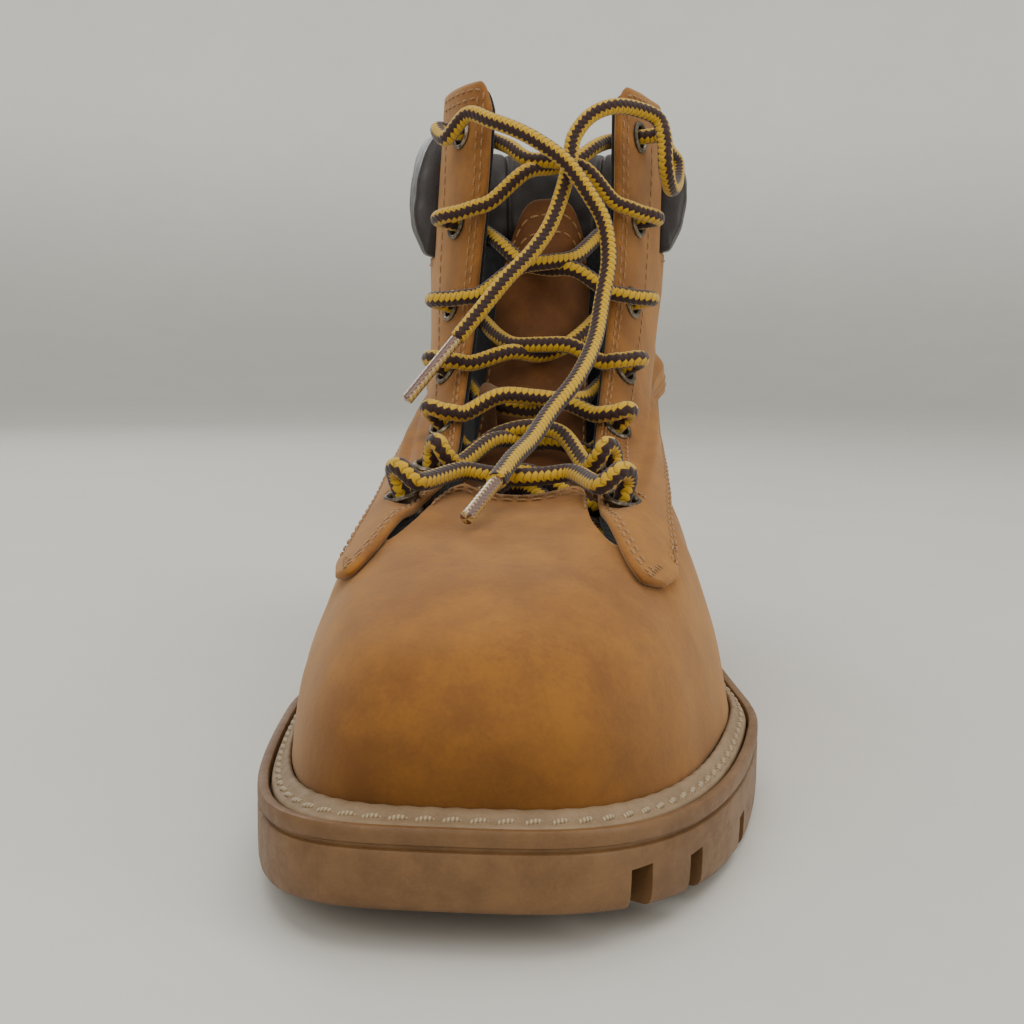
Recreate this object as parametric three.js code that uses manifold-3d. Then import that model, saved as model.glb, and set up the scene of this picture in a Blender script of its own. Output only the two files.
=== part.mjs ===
// A left steel-toe work boot, six inches tall, built the way a welted boot is built.
// Millimetres. +Z is up, the toe points to -Y, the outer (lateral) side is +X.
// The origin is on the floor, in the middle of the outsole's length.
//
// Every upper piece is a sheet that lies on the last (the foot form). A place on the last is an
// angle (0 at the toe, 90 on the outer side, 180 at the heel, negative on the inner side) and a
// rise (0 at the welt, 1 at the collar rim). A third number is the height off the last's surface.
import * as THREE from 'three';
import { mergeVertices } from 'three/addons/utils/BufferGeometryUtils.js';
import Module from 'manifold-3d';

const wasm = await Module();
wasm.setup();

// ---- driving dimensions -------------------------------------------------------------------
const SOLE_LENGTH = 308;
const SOLE_WIDTH = 108;        // across the ball of the foot
const COLLAR_HEIGHT = 135;     // collar rim above the welt, at the heel

const FOREFOOT_SOLE = 18.5;    // floor to welt top under the ball
const HEEL_RISE = 18.5;        // how much higher the welt is at the heel
const TOE_SPRING = 8;          // floor clearance under the toe tip
const TOE_WELT_RISE = 3;       // how much the welt turns up at the toe
const HEEL_BREAST_Y = 48;      // front face of the heel block
const ARCH_FRONT_Y = -8;
const ARCH_CLEARANCE = 13;
const NOTCH_WIDTH = 7;         // the gaps between the edge lugs
const NOTCH_HEIGHT = 7.5;
const NOTCH_DEPTH = 12;
const GROOVE_WIDTH = 5;        // the cross grooves of the tread
const GROOVE_DEPTH = 4;

const WELT_THICKNESS = 3;
const RIM_WIDTH = 2.2;         // rubber rim that stands round the welt
const WELT_WIDTH = 12;
const BOARD_THICKNESS = 2;
const SHANK = { length: 100, width: 18, thickness: 1.2, centreY: 18 };
const FOOTBED_THICKNESS = 4.4;

const LEATHER = 2;             // vamp and quarters
const BACKSTAY_LEATHER = 1.6;
const LINING = 1;
const CAP_STEEL = 1.8;
const COUNTER = 1.2;
const GLUE_GAP = 0.4;          // between any two sheets that are glued or sewn together

const EYELET_ROWS = 7;
const EYELET_SETBACK = 13;     // eyelet centre behind the front edge of its stay
const EYELET_PLATE = 0.8;      // how far each flange stands off the leather
const HOLE_CLEARANCE = 0.4;
const LACE = 4.4;
const LACE_CHANNEL = LACE + 3;   // room for the lace between the stay lining and the tongue
const EYELET_BORE = LACE + 2;
const EYELET_BARREL = EYELET_BORE + 1;
const EYELET_FLANGE = EYELET_BORE + 3;
const TONGUE_LEATHER = 1.5;
const TONGUE_PADDING = 3.2;

const COLLAR_LEATHER = 1.2;
const COLLAR_BULGE = 6.5;
const AGLET_LENGTH = 22;
const AGLET_WALL = 0.35;

// ---- small helpers ------------------------------------------------------------------------
const RAD = Math.PI / 180;
const clamp01 = (s) => Math.min(1, Math.max(0, s));
const lerp = (a, b, s) => a + (b - a) * s;
const smooth = (a, b, x) => {
  const s = clamp01((x - a) / (b - a));
  return s * s * (3 - 2 * s);
};
const steps = (n) => Array.from({ length: n + 1 }, (_, i) => i / n);

// A monotone cubic through [x, y] pairs, flat beyond its ends.
function table(pairs) {
  const n = pairs.length;
  const slope = pairs.slice(1).map(([x, y], i) => (y - pairs[i][1]) / (x - pairs[i][0]));
  const tangent = pairs.map((_, i) => {
    if (i === 0) return slope[0];
    if (i === n - 1) return slope[n - 2];
    const [a, b] = [slope[i - 1], slope[i]];
    return a * b <= 0 ? 0 : (2 * a * b) / (a + b);
  });
  return (x) => {
    if (x <= pairs[0][0]) return pairs[0][1];
    if (x >= pairs[n - 1][0]) return pairs[n - 1][1];
    const i = pairs.findIndex(([end]) => end > x) - 1;
    const width = pairs[i + 1][0] - pairs[i][0];
    const s = (x - pairs[i][0]) / width;
    const [y0, y1] = [pairs[i][1], pairs[i + 1][1]];
    return y0 * (1 + 2 * s) * (1 - s) ** 2 + y1 * s * s * (3 - 2 * s)
      + width * (tangent[i] * s * (1 - s) ** 2 - tangent[i + 1] * s * s * (1 - s));
  };
}

// ---- the last -----------------------------------------------------------------------------
// The pattern is drawn for one size and graded to the driving dimensions.
const PATTERN = { length: 308, width: 108, height: 135 };
const gradeY = SOLE_LENGTH / PATTERN.length;
const gradeX = SOLE_WIDTH / PATTERN.width;
const gradeZ = COLLAR_HEIGHT / PATTERN.height;

// One ring of the last per row. frontY/backY and frontUp/backUp place its two ends (up is above
// the welt), the six widths are half widths at the ball, waist and heel, blunt squares the toe.
const RING_NAMES = ['rise', 'frontY', 'frontUp', 'backY', 'backUp', 'outBall', 'outWaist',
  'outHeel', 'inBall', 'inWaist', 'inHeel', 'blunt', 'swing'];
const RINGS = [
  [0.00, -144, 0, 146, 0, 50.5, 38, 34, 46.5, 31, 34, 0.60, -4],
  [0.12, -146, 12.5, 149, 19, 47, 36.5, 36, 44.5, 33, 36, 0.64, -4],
  [0.22, -139, 26, 148, 39, 41, 34.5, 37, 39, 32, 36, 0.70, -4],
  [0.33, -116, 37, 145, 57, 34, 32, 36, 32, 31, 36, 0.80, -3],
  [0.44, -84, 43.5, 140, 71, 30.5, 32.5, 35, 29.5, 31.5, 35, 0.88, -2],
  [0.55, -50, 49, 136, 82, 30, 34, 34, 29, 33, 34, 0.90, 0],
  [0.66, -16, 65, 134, 93, 30.5, 36, 33, 30, 35, 33, 0.92, 0],
  [0.77, 3, 81, 132, 105, 31, 37.5, 33, 31, 36.5, 33, 0.95, 0],
  [0.88, 14, 106, 132, 119, 31.5, 38, 34, 31.5, 38, 34, 0.95, 0],
  [1.00, 22, 138.5, 131, 135, 31, 38.5, 34, 31, 38.5, 34, 0.95, 0],
  [1.10, 27, 162, 131, 148, 31, 38.5, 34, 31, 38.5, 34, 0.95, 0],
];
const ring = Object.fromEntries(RING_NAMES.slice(1).map((name, i) => (
  [name, table(RINGS.map((row) => [row[0], row[i + 1]]))])));
const BALL_AT = 0.28;
const WAIST_AT = 0.58;
const HEEL_AT = 0.82;

// Height of the welt's top face above the floor.
function weltTop(y) {
  const back = y / gradeY;
  const toe = Math.min(1.2, Math.max(0, (-95 - back) / 50));
  return FOREFOOT_SOLE + HEEL_RISE * smooth(-45, 75, back) + TOE_WELT_RISE * toe ** 2;
}

// The foot's middle line lies this far to the inner side of the middle of the sole's width.
const MIDDLE_LINE = 2.5;

// A foot-shaped outline in the pattern size: half widths at ball, waist and heel on each side.
function footPlan(angle, ends, outer, inner, blunt, swing) {
  const s = Math.sin(angle * RAD);
  const along = (1 - Math.cos(angle * RAD)) / 2;
  const widths = s >= 0 ? outer : inner;
  const full = [BALL_AT, WAIST_AT, HEEL_AT].map((at, i) => (
    widths[i] / (2 * Math.sqrt(at * (1 - at))) ** blunt));
  const half = lerp(lerp(full[0], full[1], smooth(BALL_AT, WAIST_AT, along)), full[2],
    smooth(WAIST_AT, HEEL_AT, along));
  const toeward = Math.max(0, 1 - along / 0.3) ** 1.5;
  return {
    x: (half * Math.sign(s) * Math.abs(s) ** blunt + swing * toeward - MIDDLE_LINE) * gradeX,
    y: lerp(ends[0], ends[1], along) * gradeY,
    along,
  };
}

function lastPoint(angle, rise) {
  const at = (name) => ring[name](rise);
  const plan = footPlan(angle, [at('frontY'), at('backY')],
    [at('outBall'), at('outWaist'), at('outHeel')],
    [at('inBall'), at('inWaist'), at('inHeel')], at('blunt'), at('swing'));
  const flat = lerp(weltTop(at('frontY') * gradeY), weltTop(at('backY') * gradeY), plan.along);
  const follow = clamp01(1 - rise / 0.5) ** 1.5;
  const up = lerp(at('frontUp'), at('backUp'), plan.along) * gradeZ;
  return new THREE.Vector3(plan.x, plan.y, lerp(flat, weltTop(plan.y), follow) + up);
}

function lastNormal(angle, rise) {
  const e = 0.5;
  const f = 0.004;
  const around = lastPoint(angle + e, rise).sub(lastPoint(angle - e, rise));
  const low = Math.max(0, rise - f);
  const upward = lastPoint(angle, rise + f).sub(lastPoint(angle, low));
  return around.cross(upward).normalize();
}

// The throat's middle line drifts to the outer side towards the top, and the heel stays put.
const THROAT_DRIFT = 8;
const away = (angle) => 180 - Math.abs(180 - Math.abs(angle));
const drifted = (angle, rise) => (
  angle + THROAT_DRIFT * smooth(0.55, 1, rise) * (1 - smooth(80, 150, away(angle))));

function onLast(angle, rise, off) {
  const turned = drifted(angle, rise);
  return lastPoint(turned, rise).addScaledVector(lastNormal(turned, rise), off);
}

// Degrees that span a distance round the last at a place.
function degreesFor(distance, angle, rise) {
  const step = onLast(angle + 1, rise, 0).distanceTo(onLast(angle - 1, rise, 0)) / 2;
  return distance / step;
}

// ---- solids -------------------------------------------------------------------------------
function geometryFrom(points, faces) {
  const geometry = new THREE.BufferGeometry();
  geometry.setAttribute('position',
    new THREE.Float32BufferAttribute(points.flatMap((p) => [p.x, p.y, p.z]), 3));
  geometry.setIndex(faces.flat());
  return mergeVertices(geometry, 1e-3);
}

function dropSlivers(geometry) {
  const index = geometry.index.array;
  const kept = [];
  for (let i = 0; i < index.length; i += 3) {
    const [a, b, c] = [index[i], index[i + 1], index[i + 2]];
    if (a !== b && b !== c && c !== a) kept.push(a, b, c);
  }
  geometry.setIndex(kept);
  return geometry;
}

function solidOf(geometry) {
  const bare = geometry.index ? geometry.clone() : geometry;
  bare.deleteAttribute('normal');
  bare.deleteAttribute('uv');
  const merged = dropSlivers(mergeVertices(bare, 1e-4));
  return new wasm.Manifold(new wasm.Mesh({
    numProp: 3,
    vertProperties: new Float32Array(merged.attributes.position.array),
    triVerts: new Uint32Array(merged.index.array),
  }));
}

function geometryOf(solid) {
  const mesh = solid.getMesh();
  const geometry = new THREE.BufferGeometry();
  geometry.setAttribute('position', new THREE.Float32BufferAttribute(mesh.vertProperties, 3));
  geometry.setIndex(Array.from(mesh.triVerts));
  return geometry;
}

// All sheets share these stations, so that sheets lying on each other have matching facets.
const HALF_ANGLES = [0, 4, 9, 16, 24, 32, 39, 46, 53, 62, 71, 76.5, 90, 106, 122, 140, 158, 172];
const FRONT_ANGLES = [...HALF_ANGLES.slice(1).map((angle) => -angle).reverse(), ...HALF_ANGLES];
const BACK_ANGLES = [...HALF_ANGLES, 180, ...HALF_ANGLES.map((angle) => 360 - angle).reverse()];
const RISES = [0, 0.04, 0.09, 0.15, 0.21, 0.28, 0.34, 0.41, 0.48, 0.55, 0.62, 0.7, 0.8, 0.9, 1,
  1.06];

// A closed sheet over the stations. clip moves each station into the sheet's outline; outer and
// inner give the heights of its two faces off the last.
function sheet(angles, clip, outer, inner, rises = RISES) {
  const points = [];
  for (const height of [outer, inner]) {
    for (const column of angles) {
      for (const row of rises) {
        const [angle, rise] = clip(column, row);
        points.push(onLast(angle, rise, height(angle, rise)));
      }
    }
  }
  return gridShell(points, angles.length, rises.length);
}
const clamp = (x, low, high) => Math.min(high, Math.max(low, x));

// Closes two grids of points (first the outer one, then the inner one) into one body.
function gridShell(points, columns, rows) {
  const id = (layer, i, j) => layer * columns * rows + i * rows + j;
  const faces = [];
  const quad = (a, b, c, d) => faces.push([a, b, c], [a, c, d]);
  for (let i = 0; i < columns - 1; i += 1) {
    for (let j = 0; j < rows - 1; j += 1) {
      quad(id(0, i, j), id(0, i + 1, j), id(0, i + 1, j + 1), id(0, i, j + 1));
      quad(id(1, i, j), id(1, i, j + 1), id(1, i + 1, j + 1), id(1, i + 1, j));
    }
    quad(id(0, i, 0), id(1, i, 0), id(1, i + 1, 0), id(0, i + 1, 0));
    const top = rows - 1;
    quad(id(0, i, top), id(0, i + 1, top), id(1, i + 1, top), id(1, i, top));
  }
  for (let j = 0; j < rows - 1; j += 1) {
    quad(id(0, 0, j), id(0, 0, j + 1), id(1, 0, j + 1), id(1, 0, j));
    const end = columns - 1;
    quad(id(0, end, j), id(1, end, j), id(1, end, j + 1), id(0, end, j + 1));
  }
  return facingOut(dropSlivers(geometryFrom(points, faces)));
}

// A closed band: one closed profile of points at each of several stations.
function sweptProfile(stations) {
  const count = stations[0].length;
  const faces = [];
  for (let i = 0; i < stations.length - 1; i += 1) {
    for (let j = 0; j < count; j += 1) {
      const k = (j + 1) % count;
      const [a, b] = [i * count, (i + 1) * count];
      faces.push([a + j, b + j, b + k], [a + j, b + k, a + k]);
    }
  }
  const flatCap = stations[0].map((p) => new THREE.Vector2(p.capU, p.capV));
  const last = (stations.length - 1) * count;
  const turned = THREE.ShapeUtils.isClockWise(flatCap) ? count - 1 : 0;
  const nearCap = turned ? [...flatCap].reverse() : flatCap;
  for (const cap of THREE.ShapeUtils.triangulateShape(nearCap, [])) {
    const [a, b, c] = turned ? cap.map((k) => turned - k).reverse() : cap;
    faces.push([a, b, c], [last + a, last + c, last + b]);
  }
  return facingOut(geometryFrom(stations.flat().map((p) => p.point), faces));
}

// Turns a closed surface so that its faces point out.
function facingOut(geometry) {
  const p = geometry.attributes.position;
  const index = geometry.index.array;
  const [a, b, c] = [new THREE.Vector3(), new THREE.Vector3(), new THREE.Vector3()];
  let volume = 0;
  for (let i = 0; i < index.length; i += 3) {
    a.fromBufferAttribute(p, index[i]);
    b.fromBufferAttribute(p, index[i + 1]);
    c.fromBufferAttribute(p, index[i + 2]);
    volume += a.dot(b.cross(c));
  }
  if (volume < 0) geometry.setIndex(Array.from(index).reverse());
  return geometry;
}

// A flat-lying plate: outline(angle) gives its edge, top(y) and bottom(y) its two faces.
function plate(outline, top, bottom, sides = 36) {
  const points = [];
  const faces = [];
  const rows = 3;
  const ringOf = (z) => steps(sides).slice(0, -1).forEach((s) => {
    const edge = outline(360 * s - 180);
    const spine = (edge.y + outline(180 - 360 * s).y) * 0.44;
    [1, 0.55, 0].forEach((out) => {
      const x = edge.x * out;
      const y = lerp(spine, edge.y, out);
      points.push(new THREE.Vector3(x, y, z(y)));
    });
  });
  ringOf(top);
  ringOf(bottom);
  const id = (layer, i, j) => layer * sides * rows + (i % sides) * rows + j;
  for (let i = 0; i < sides; i += 1) {
    for (let j = 0; j < rows - 1; j += 1) {
      const top4 = [id(0, i, j), id(0, i + 1, j), id(0, i + 1, j + 1), id(0, i, j + 1)];
      const low4 = [id(1, i, j), id(1, i, j + 1), id(1, i + 1, j + 1), id(1, i + 1, j)];
      for (const [a, b, c, d] of [top4, low4]) faces.push([a, b, c], [a, c, d]);
    }
    const [a, b, c, d] = [id(0, i, 0), id(1, i, 0), id(1, i + 1, 0), id(0, i + 1, 0)];
    faces.push([a, b, c], [a, c, d]);
  }
  return facingOut(dropSlivers(geometryFrom(points, faces)));
}

// A round tube along a smooth curve, closed at both ends.
function tube(curve, diameter, sides, spacing) {
  const section = new THREE.Shape();
  section.absarc(0, 0, diameter / 2, 0, 2 * Math.PI);
  const round = new THREE.Shape(section.getSpacedPoints(sides).slice(0, -1));
  return new THREE.ExtrudeGeometry(round, {
    steps: Math.round(curve.getLength() / spacing), bevelEnabled: false, extrudePath: curve,
  });
}

const group = new THREE.Group();
function add(name, geometry, color, roughness, metalness = 0) {
  const mesh = new THREE.Mesh(geometry,
    new THREE.MeshStandardMaterial({ color, roughness, metalness }));
  mesh.name = name;
  group.add(mesh);
  return mesh;
}

const TAN = 0xa06a35;
const BROWN = 0x8a5428;
const CHARCOAL = 0x3b3434;
const RUBBER = 0xa9825a;
const WELT = 0x8f7b62;

// ---- sole unit ----------------------------------------------------------------------------
const SOLE_PLAN = { ends: [-154, 154], outer: [56.5, 45, 40], inner: [51.5, 38, 39], blunt: 0.58 };
const soleEdge = (angle) => (
  footPlan(angle, SOLE_PLAN.ends, SOLE_PLAN.outer, SOLE_PLAN.inner, SOLE_PLAN.blunt, -5));

// The sole edge moved inwards by a distance.
function soleInset(distance) {
  return (angle) => {
    const [before, at, after] = [angle - 1, angle, angle + 1].map(soleEdge);
    const tangent = new THREE.Vector2(after.x - before.x, after.y - before.y).normalize();
    return { x: at.x - tangent.y * distance, y: at.y + tangent.x * distance };
  };
}
const weltInner = soleInset(WELT_WIDTH);
const treadHeight = (y) => TOE_SPRING * clamp01((-80 - y / gradeY) / 74) ** 1.8;

function boxSolid(width, depth, height) {
  return solidOf(new THREE.BoxGeometry(width, depth, height));
}

// The lug gaps: one box cut square to the sole edge at each angle.
const EDGE_NOTCHES = [21, 33, 50, 67, 82, 133, 148, 163, -45, -62, -78, -133, -148, -163];
function edgeNotch(angle) {
  const [before, at, after] = [angle - 1, angle, angle + 1].map(soleEdge);
  const turn = Math.atan2(after.y - before.y, after.x - before.x) / RAD;
  const height = NOTCH_HEIGHT + treadHeight(at.y);
  return boxSolid(NOTCH_WIDTH, 2 * NOTCH_DEPTH, 2 * height)
    .rotate([0, 0, turn]).translate([at.x, at.y, 0]);
}

const CROSS_GROOVES = [-100, -76, -52, -28, 76, 98, 122];
function outsole() {
  const seat = (y) => weltTop(y) - WELT_THICKNESS - 2 * GLUE_GAP;
  let body = solidOf(plate(soleEdge, weltTop, treadHeight));
  body = body.subtract(solidOf(plate(soleInset(RIM_WIDTH), (y) => weltTop(y) + 5, seat)));
  const arch = new THREE.Shape();
  arch.moveTo(ARCH_FRONT_Y * gradeY, -1);
  arch.quadraticCurveTo(ARCH_FRONT_Y * gradeY + 20, ARCH_CLEARANCE, HEEL_BREAST_Y * gradeY - 8,
    ARCH_CLEARANCE);
  arch.lineTo(HEEL_BREAST_Y * gradeY, ARCH_CLEARANCE - 3);
  arch.lineTo(HEEL_BREAST_Y * gradeY, -1);
  const across = new THREE.ExtrudeGeometry(arch,
    { depth: 2 * SOLE_WIDTH, bevelEnabled: false, curveSegments: 5 });
  body = body.subtract(solidOf(across).rotate([90, 0, 90]).translate([-SOLE_WIDTH, 0, 0]));
  for (const angle of EDGE_NOTCHES) body = body.subtract(edgeNotch(angle));
  for (const y of CROSS_GROOVES) {
    const height = GROOVE_DEPTH + treadHeight(y * gradeY);
    body = body.subtract(boxSolid(0.8 * SOLE_WIDTH, GROOVE_WIDTH, 2 * height)
      .translate([0, y * gradeY, 0]));
  }
  return geometryOf(body);
}

const weltBottom = (y) => weltTop(y) - WELT_THICKNESS - GLUE_GAP;
const weltFace = (y) => weltTop(y) - GLUE_GAP;
const footOutline = (inset) => (angle) => onLast(angle, 0, -inset);

function welt() {
  const outer = solidOf(plate(soleInset(RIM_WIDTH + GLUE_GAP), weltFace, weltBottom));
  const hole = plate(weltInner, (y) => weltTop(y) + 5, (y) => weltTop(y) - 10);
  return geometryOf(outer.subtract(solidOf(hole)));
}

function shankPlate(grow) {
  const half = SHANK.length / 2 + grow;
  const width = SHANK.width / 2 + grow;
  const rim = (angle) => {
    const [c, s] = [Math.cos(angle * RAD), Math.sin(angle * RAD)];
    return {
      x: width * Math.sign(s) * Math.min(1, 2.4 * Math.abs(s)),
      y: -half * Math.sign(c) * Math.min(1, 1.15 * Math.abs(c)),
    };
  };
  const place = (height) => (y) => weltTop(y + SHANK.centreY) + height;
  const top = -GLUE_GAP - 0.4 + 3 * grow;
  return solidOf(plate(rim, place(top), place(-GLUE_GAP - 0.4 - SHANK.thickness - grow), 24))
    .translate([0, SHANK.centreY, 0]);
}

function midsole() {
  const core = solidOf(plate(soleInset(WELT_WIDTH + GLUE_GAP), weltFace, weltBottom));
  return geometryOf(core.subtract(shankPlate(GLUE_GAP)));
}

const boardTop = GLUE_GAP + BOARD_THICKNESS;
const insoleBoard = plate(footOutline(LEATHER + 3 * GLUE_GAP),
  (y) => weltTop(y) + boardTop, (y) => weltTop(y) + GLUE_GAP);
const footbedUnder = boardTop + GLUE_GAP;
const footbedInset = LEATHER + CAP_STEEL + LINING + 3 * GLUE_GAP + 2;
const footbed = plate(footOutline(footbedInset),
  (y) => weltTop(y) + footbedUnder + FOOTBED_THICKNESS, (y) => weltTop(y) + footbedUnder);

add('outsole', outsole(), RUBBER, 0.6);
add('welt', welt(), WELT, 0.65);
add('midsole', midsole(), 0x8b7355, 0.9);
add('shank', geometryOf(shankPlate(0)), 0x8f9296, 0.35, 1);
add('insole_board', insoleBoard, 0xb59b74, 0.9);
add('footbed', footbed, 0x2c2a2a, 0.95);

// ---- pattern lines of the upper -------------------------------------------------------------
// The stays stand this many degrees either side of the middle of the throat.
const halfGap = table([[0.243, 47], [0.27, 41], [0.3, 39.5], [0.37, 38], [0.487, 34],
  [0.573, 31], [0.67, 33], [0.8, 34], [0.91, 33], [1.05, 32]]);
const stayAngle = (side, rise, back) => (
  side * (halfGap(rise) + degreesFor(back, side * 45, rise)));

const vampTop = table([[0, 0.55], [20, 0.55], [26, 0.53], [33, 0.41], [40, 0.34], [50, 0.328],
  [60, 0.35], [70, 0.38], [80, 0.4], [100, 0.42], [130, 0.41], [172, 0.4]]);
const seamRise = table([[47, 0.243], [52, 0.24], [60, 0.285], [72, 0.335], [85, 0.36],
  [100, 0.37], [130, 0.36], [172, 0.35]]);
const collarFoot = table([[74, 0.835], [110, 0.8], [180, 0.75]]);
const tongueBase = (angle) => 0.46 - 0.15 * smooth(0, 39, Math.abs(angle));

const CAP_REACH = 0.36;        // rise of the toe cap's back edge over the toes
const CAP_HALF_ANGLE = 53;
const capTop = (angle) => CAP_REACH * (1 - (angle / (CAP_HALF_ANGLE + 6)) ** 2);
const SHEET_FOOT = 0.004;      // lower edge of the outer sheets, just off the welt
const LINING_FOOT = 0.06;
const SEAM_GAP = 0.02;         // between two linings that meet edge to edge, as a rise
const BACK_SEAM = 172;

const flat = (height) => () => height;
const under = (layer, thickness) => (angle, rise) => layer(angle, rise) - thickness;
// An outline from a sheet's end angles and its lower and upper edges.
const outline = (first, last, low, high) => (column, row) => {
  const angle = clamp(column, first, last);
  return [angle, clamp(row, low(angle), high(angle))];
};

// Vamp, wrapping from the heel round the toe to the heel.
add('vamp', sheet(FRONT_ANGLES, outline(-BACK_SEAM, BACK_SEAM, flat(SHEET_FOOT),
  (angle) => vampTop(Math.abs(angle))), flat(0), flat(-LEATHER)), TAN, 0.85);

// Steel toe cap and the soft strip along its back edge.
const CURVE_GAP = 0.3;         // extra room under the strongly curved toe
const CAP_FOOT = 0.0096 * (boardTop + 0.7) / gradeZ;   // rise that clears the insole board
const capOuter = -LEATHER - GLUE_GAP - CURVE_GAP;
add('toe_cap', sheet(FRONT_ANGLES, outline(-CAP_HALF_ANGLE, CAP_HALF_ANGLE, flat(CAP_FOOT), capTop),
  flat(capOuter), flat(capOuter - CAP_STEEL)), 0x9a9da0, 0.35, 1);
const stripHalf = CAP_HALF_ANGLE - 7;
add('toe_cap_edge_strip', sheet(FRONT_ANGLES, outline(-stripHalf, stripHalf,
  (angle) => capTop(angle) + 0.01, (angle) => capTop(angle) + 0.035),
flat(capOuter), flat(capOuter - 1.2)), 0x222222, 0.9);

// Linings keep clear of the cap at the toe and of the counter at the heel.
const capZone = (angle, rise) => (
  1 - smooth(CAP_HALF_ANGLE + 4, CAP_HALF_ANGLE + 18, away(angle)))
  * (1 - smooth(0.06, 0.12, rise - capTop(Math.min(away(angle), CAP_HALF_ANGLE))));
const counterZone = (angle, rise) => smooth(90, 99, away(angle)) * (1 - smooth(0.33, 0.42, rise));
const liningOuter = (angle, rise) => capOuter
  - (CAP_STEEL + GLUE_GAP) * capZone(angle, rise) - (COUNTER + GLUE_GAP) * counterZone(angle, rise);
const liningInner = under(liningOuter, LINING);
const SIDE_LINING_FOOT = 0.3;
const SIDE_SEAM = 78;          // angle where the vamp lining meets the heel lining
const vampLiningTop = (angle) => (
  Math.min(Math.abs(angle) < 39 ? 1 : SIDE_LINING_FOOT, tongueBase(angle)) - SEAM_GAP);
add('vamp_lining', sheet(FRONT_ANGLES, outline(-SIDE_SEAM, SIDE_SEAM, flat(LINING_FOOT),
  vampLiningTop), liningOuter, liningInner), 0x1d1d1f, 0.95);
add('heel_lining', sheet(BACK_ANGLES, outline(SIDE_SEAM + 1.5, 358.5 - SIDE_SEAM,
  flat(LINING_FOOT), flat(SIDE_LINING_FOOT - SEAM_GAP)), liningOuter, liningInner),
0x1d1d1f, 0.95);

// Heel counter, the stiff cup between the vamp and the heel lining.
const COUNTER_FRONT = 106;
add('heel_counter', sheet(BACK_ANGLES, outline(COUNTER_FRONT, 360 - COUNTER_FRONT,
  flat(0.04), flat(0.28)), flat(capOuter), flat(capOuter - COUNTER)), 0xc9bda6, 0.8);

// The quarter (eyelet stay, ankle and heel side in one piece) and its lining share an outline.
const STAY_TOP = 1.045;
const STAY_BACK = 71;          // rear edge of the stay where it stands beside the collar
const COLLAR_FRONT = 76.5;
const COLLAR_GAP = 0.0025;
const quarterTop = (angle) => lerp(STAY_TOP, collarFoot(angle) - COLLAR_GAP,
  smooth(STAY_BACK, COLLAR_FRONT, angle));
const liningTop = (angle) => quarterTop(angle) - 0.008 * (angle < STAY_BACK);
function quarterOutline(side, front, low, high) {
  return (column, row) => {
    const away0 = clamp(side * column, 0, BACK_SEAM);
    const rise = clamp(row, low(Math.max(away0, front(0))), high(away0));
    return [side * Math.max(away0, front(rise)), rise];
  };
}
const sideLiningFront = (rise) => halfGap(rise) + 0.8;
// Where the quarter laps over the vamp it lies one leather higher.
const LAP_GAP = 1.2;
const lapHeight = (angle, rise) => {
  const edge = vampTop(Math.min(BACK_SEAM, away(angle)));
  return (LEATHER + LAP_GAP) * (1 - smooth(edge + 0.03, edge + 0.08, rise));
};

// ---- eyelets ------------------------------------------------------------------------------
// Seven rows a side, evenly spaced along the stay.
const FIRST_ROW_RISE = 0.985;
const LAST_ROW_RISE = 0.405;
const rowRises = (() => {
  const samples = steps(200).map((s) => lerp(LAST_ROW_RISE, FIRST_ROW_RISE, s));
  const line = samples.map((rise) => onLast(stayAngle(1, rise, EYELET_SETBACK), rise, 0));
  const run = [0];
  line.slice(1).forEach((p, i) => run.push(run[i] + p.distanceTo(line[i])));
  return steps(EYELET_ROWS - 1).reverse().map((s) => (
    samples[run.findIndex((length) => length >= s * run.at(-1) - 1e-9)]));
})();

function eyeletFrame(side, row) {
  const rise = rowRises[row];
  const angle = stayAngle(side, rise, EYELET_SETBACK);
  const reach = degreesFor(EYELET_FLANGE / 2, angle, rise);
  const around = [[0, 0], [reach, 0], [-reach, 0], [0, 0.02], [0, -0.02], [-reach, -0.015]];
  const lift = Math.max(...around.map(([da, dr]) => lapHeight(Math.abs(angle) + da, rise + dr)));
  const out = lastNormal(drifted(angle, rise), rise);
  return { rise, angle, lift, out, centre: onLast(angle, rise, 0) };
}

// A round piece whose own +Z axis points out of the leather at an eyelet.
function seatedAt(geometry, frame) {
  const turn = new THREE.Quaternion().setFromUnitVectors(new THREE.Vector3(0, 0, 1), frame.out);
  return geometry.clone().applyQuaternion(turn)
    .translate(frame.centre.x, frame.centre.y, frame.centre.z);
}

const FLANGE_GAP = 1.2;        // a flat flange on a curved stay touches only in the middle
const INNER_FACE = LINING - capOuter;
function eyeletGeometry(frame) {
  const [bore, barrel, flange] = [EYELET_BORE, EYELET_BARREL, EYELET_FLANGE].map((d) => d / 2);
  const top = frame.lift + FLANGE_GAP;
  const low = -INNER_FACE - 0.5;
  const profile = [[bore, low - 0.5], [barrel + 0.3, low - 0.2], [barrel + 0.3, low], [barrel, top],
    [flange, top], [bore + 0.8, top + EYELET_PLATE], [bore, top + 0.3]];
  const points = [...profile, profile[0]].map(([r, z]) => new THREE.Vector2(r, z));
  return seatedAt(facingOut(upright(new THREE.LatheGeometry(points, 8))), frame);
}

// Lathes turn about Y; this stands one on Z and welds it.
function upright(lathe) {
  lathe.rotateX(Math.PI / 2);
  lathe.deleteAttribute('normal');
  lathe.deleteAttribute('uv');
  return dropSlivers(mergeVertices(lathe, 1e-3));
}

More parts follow.
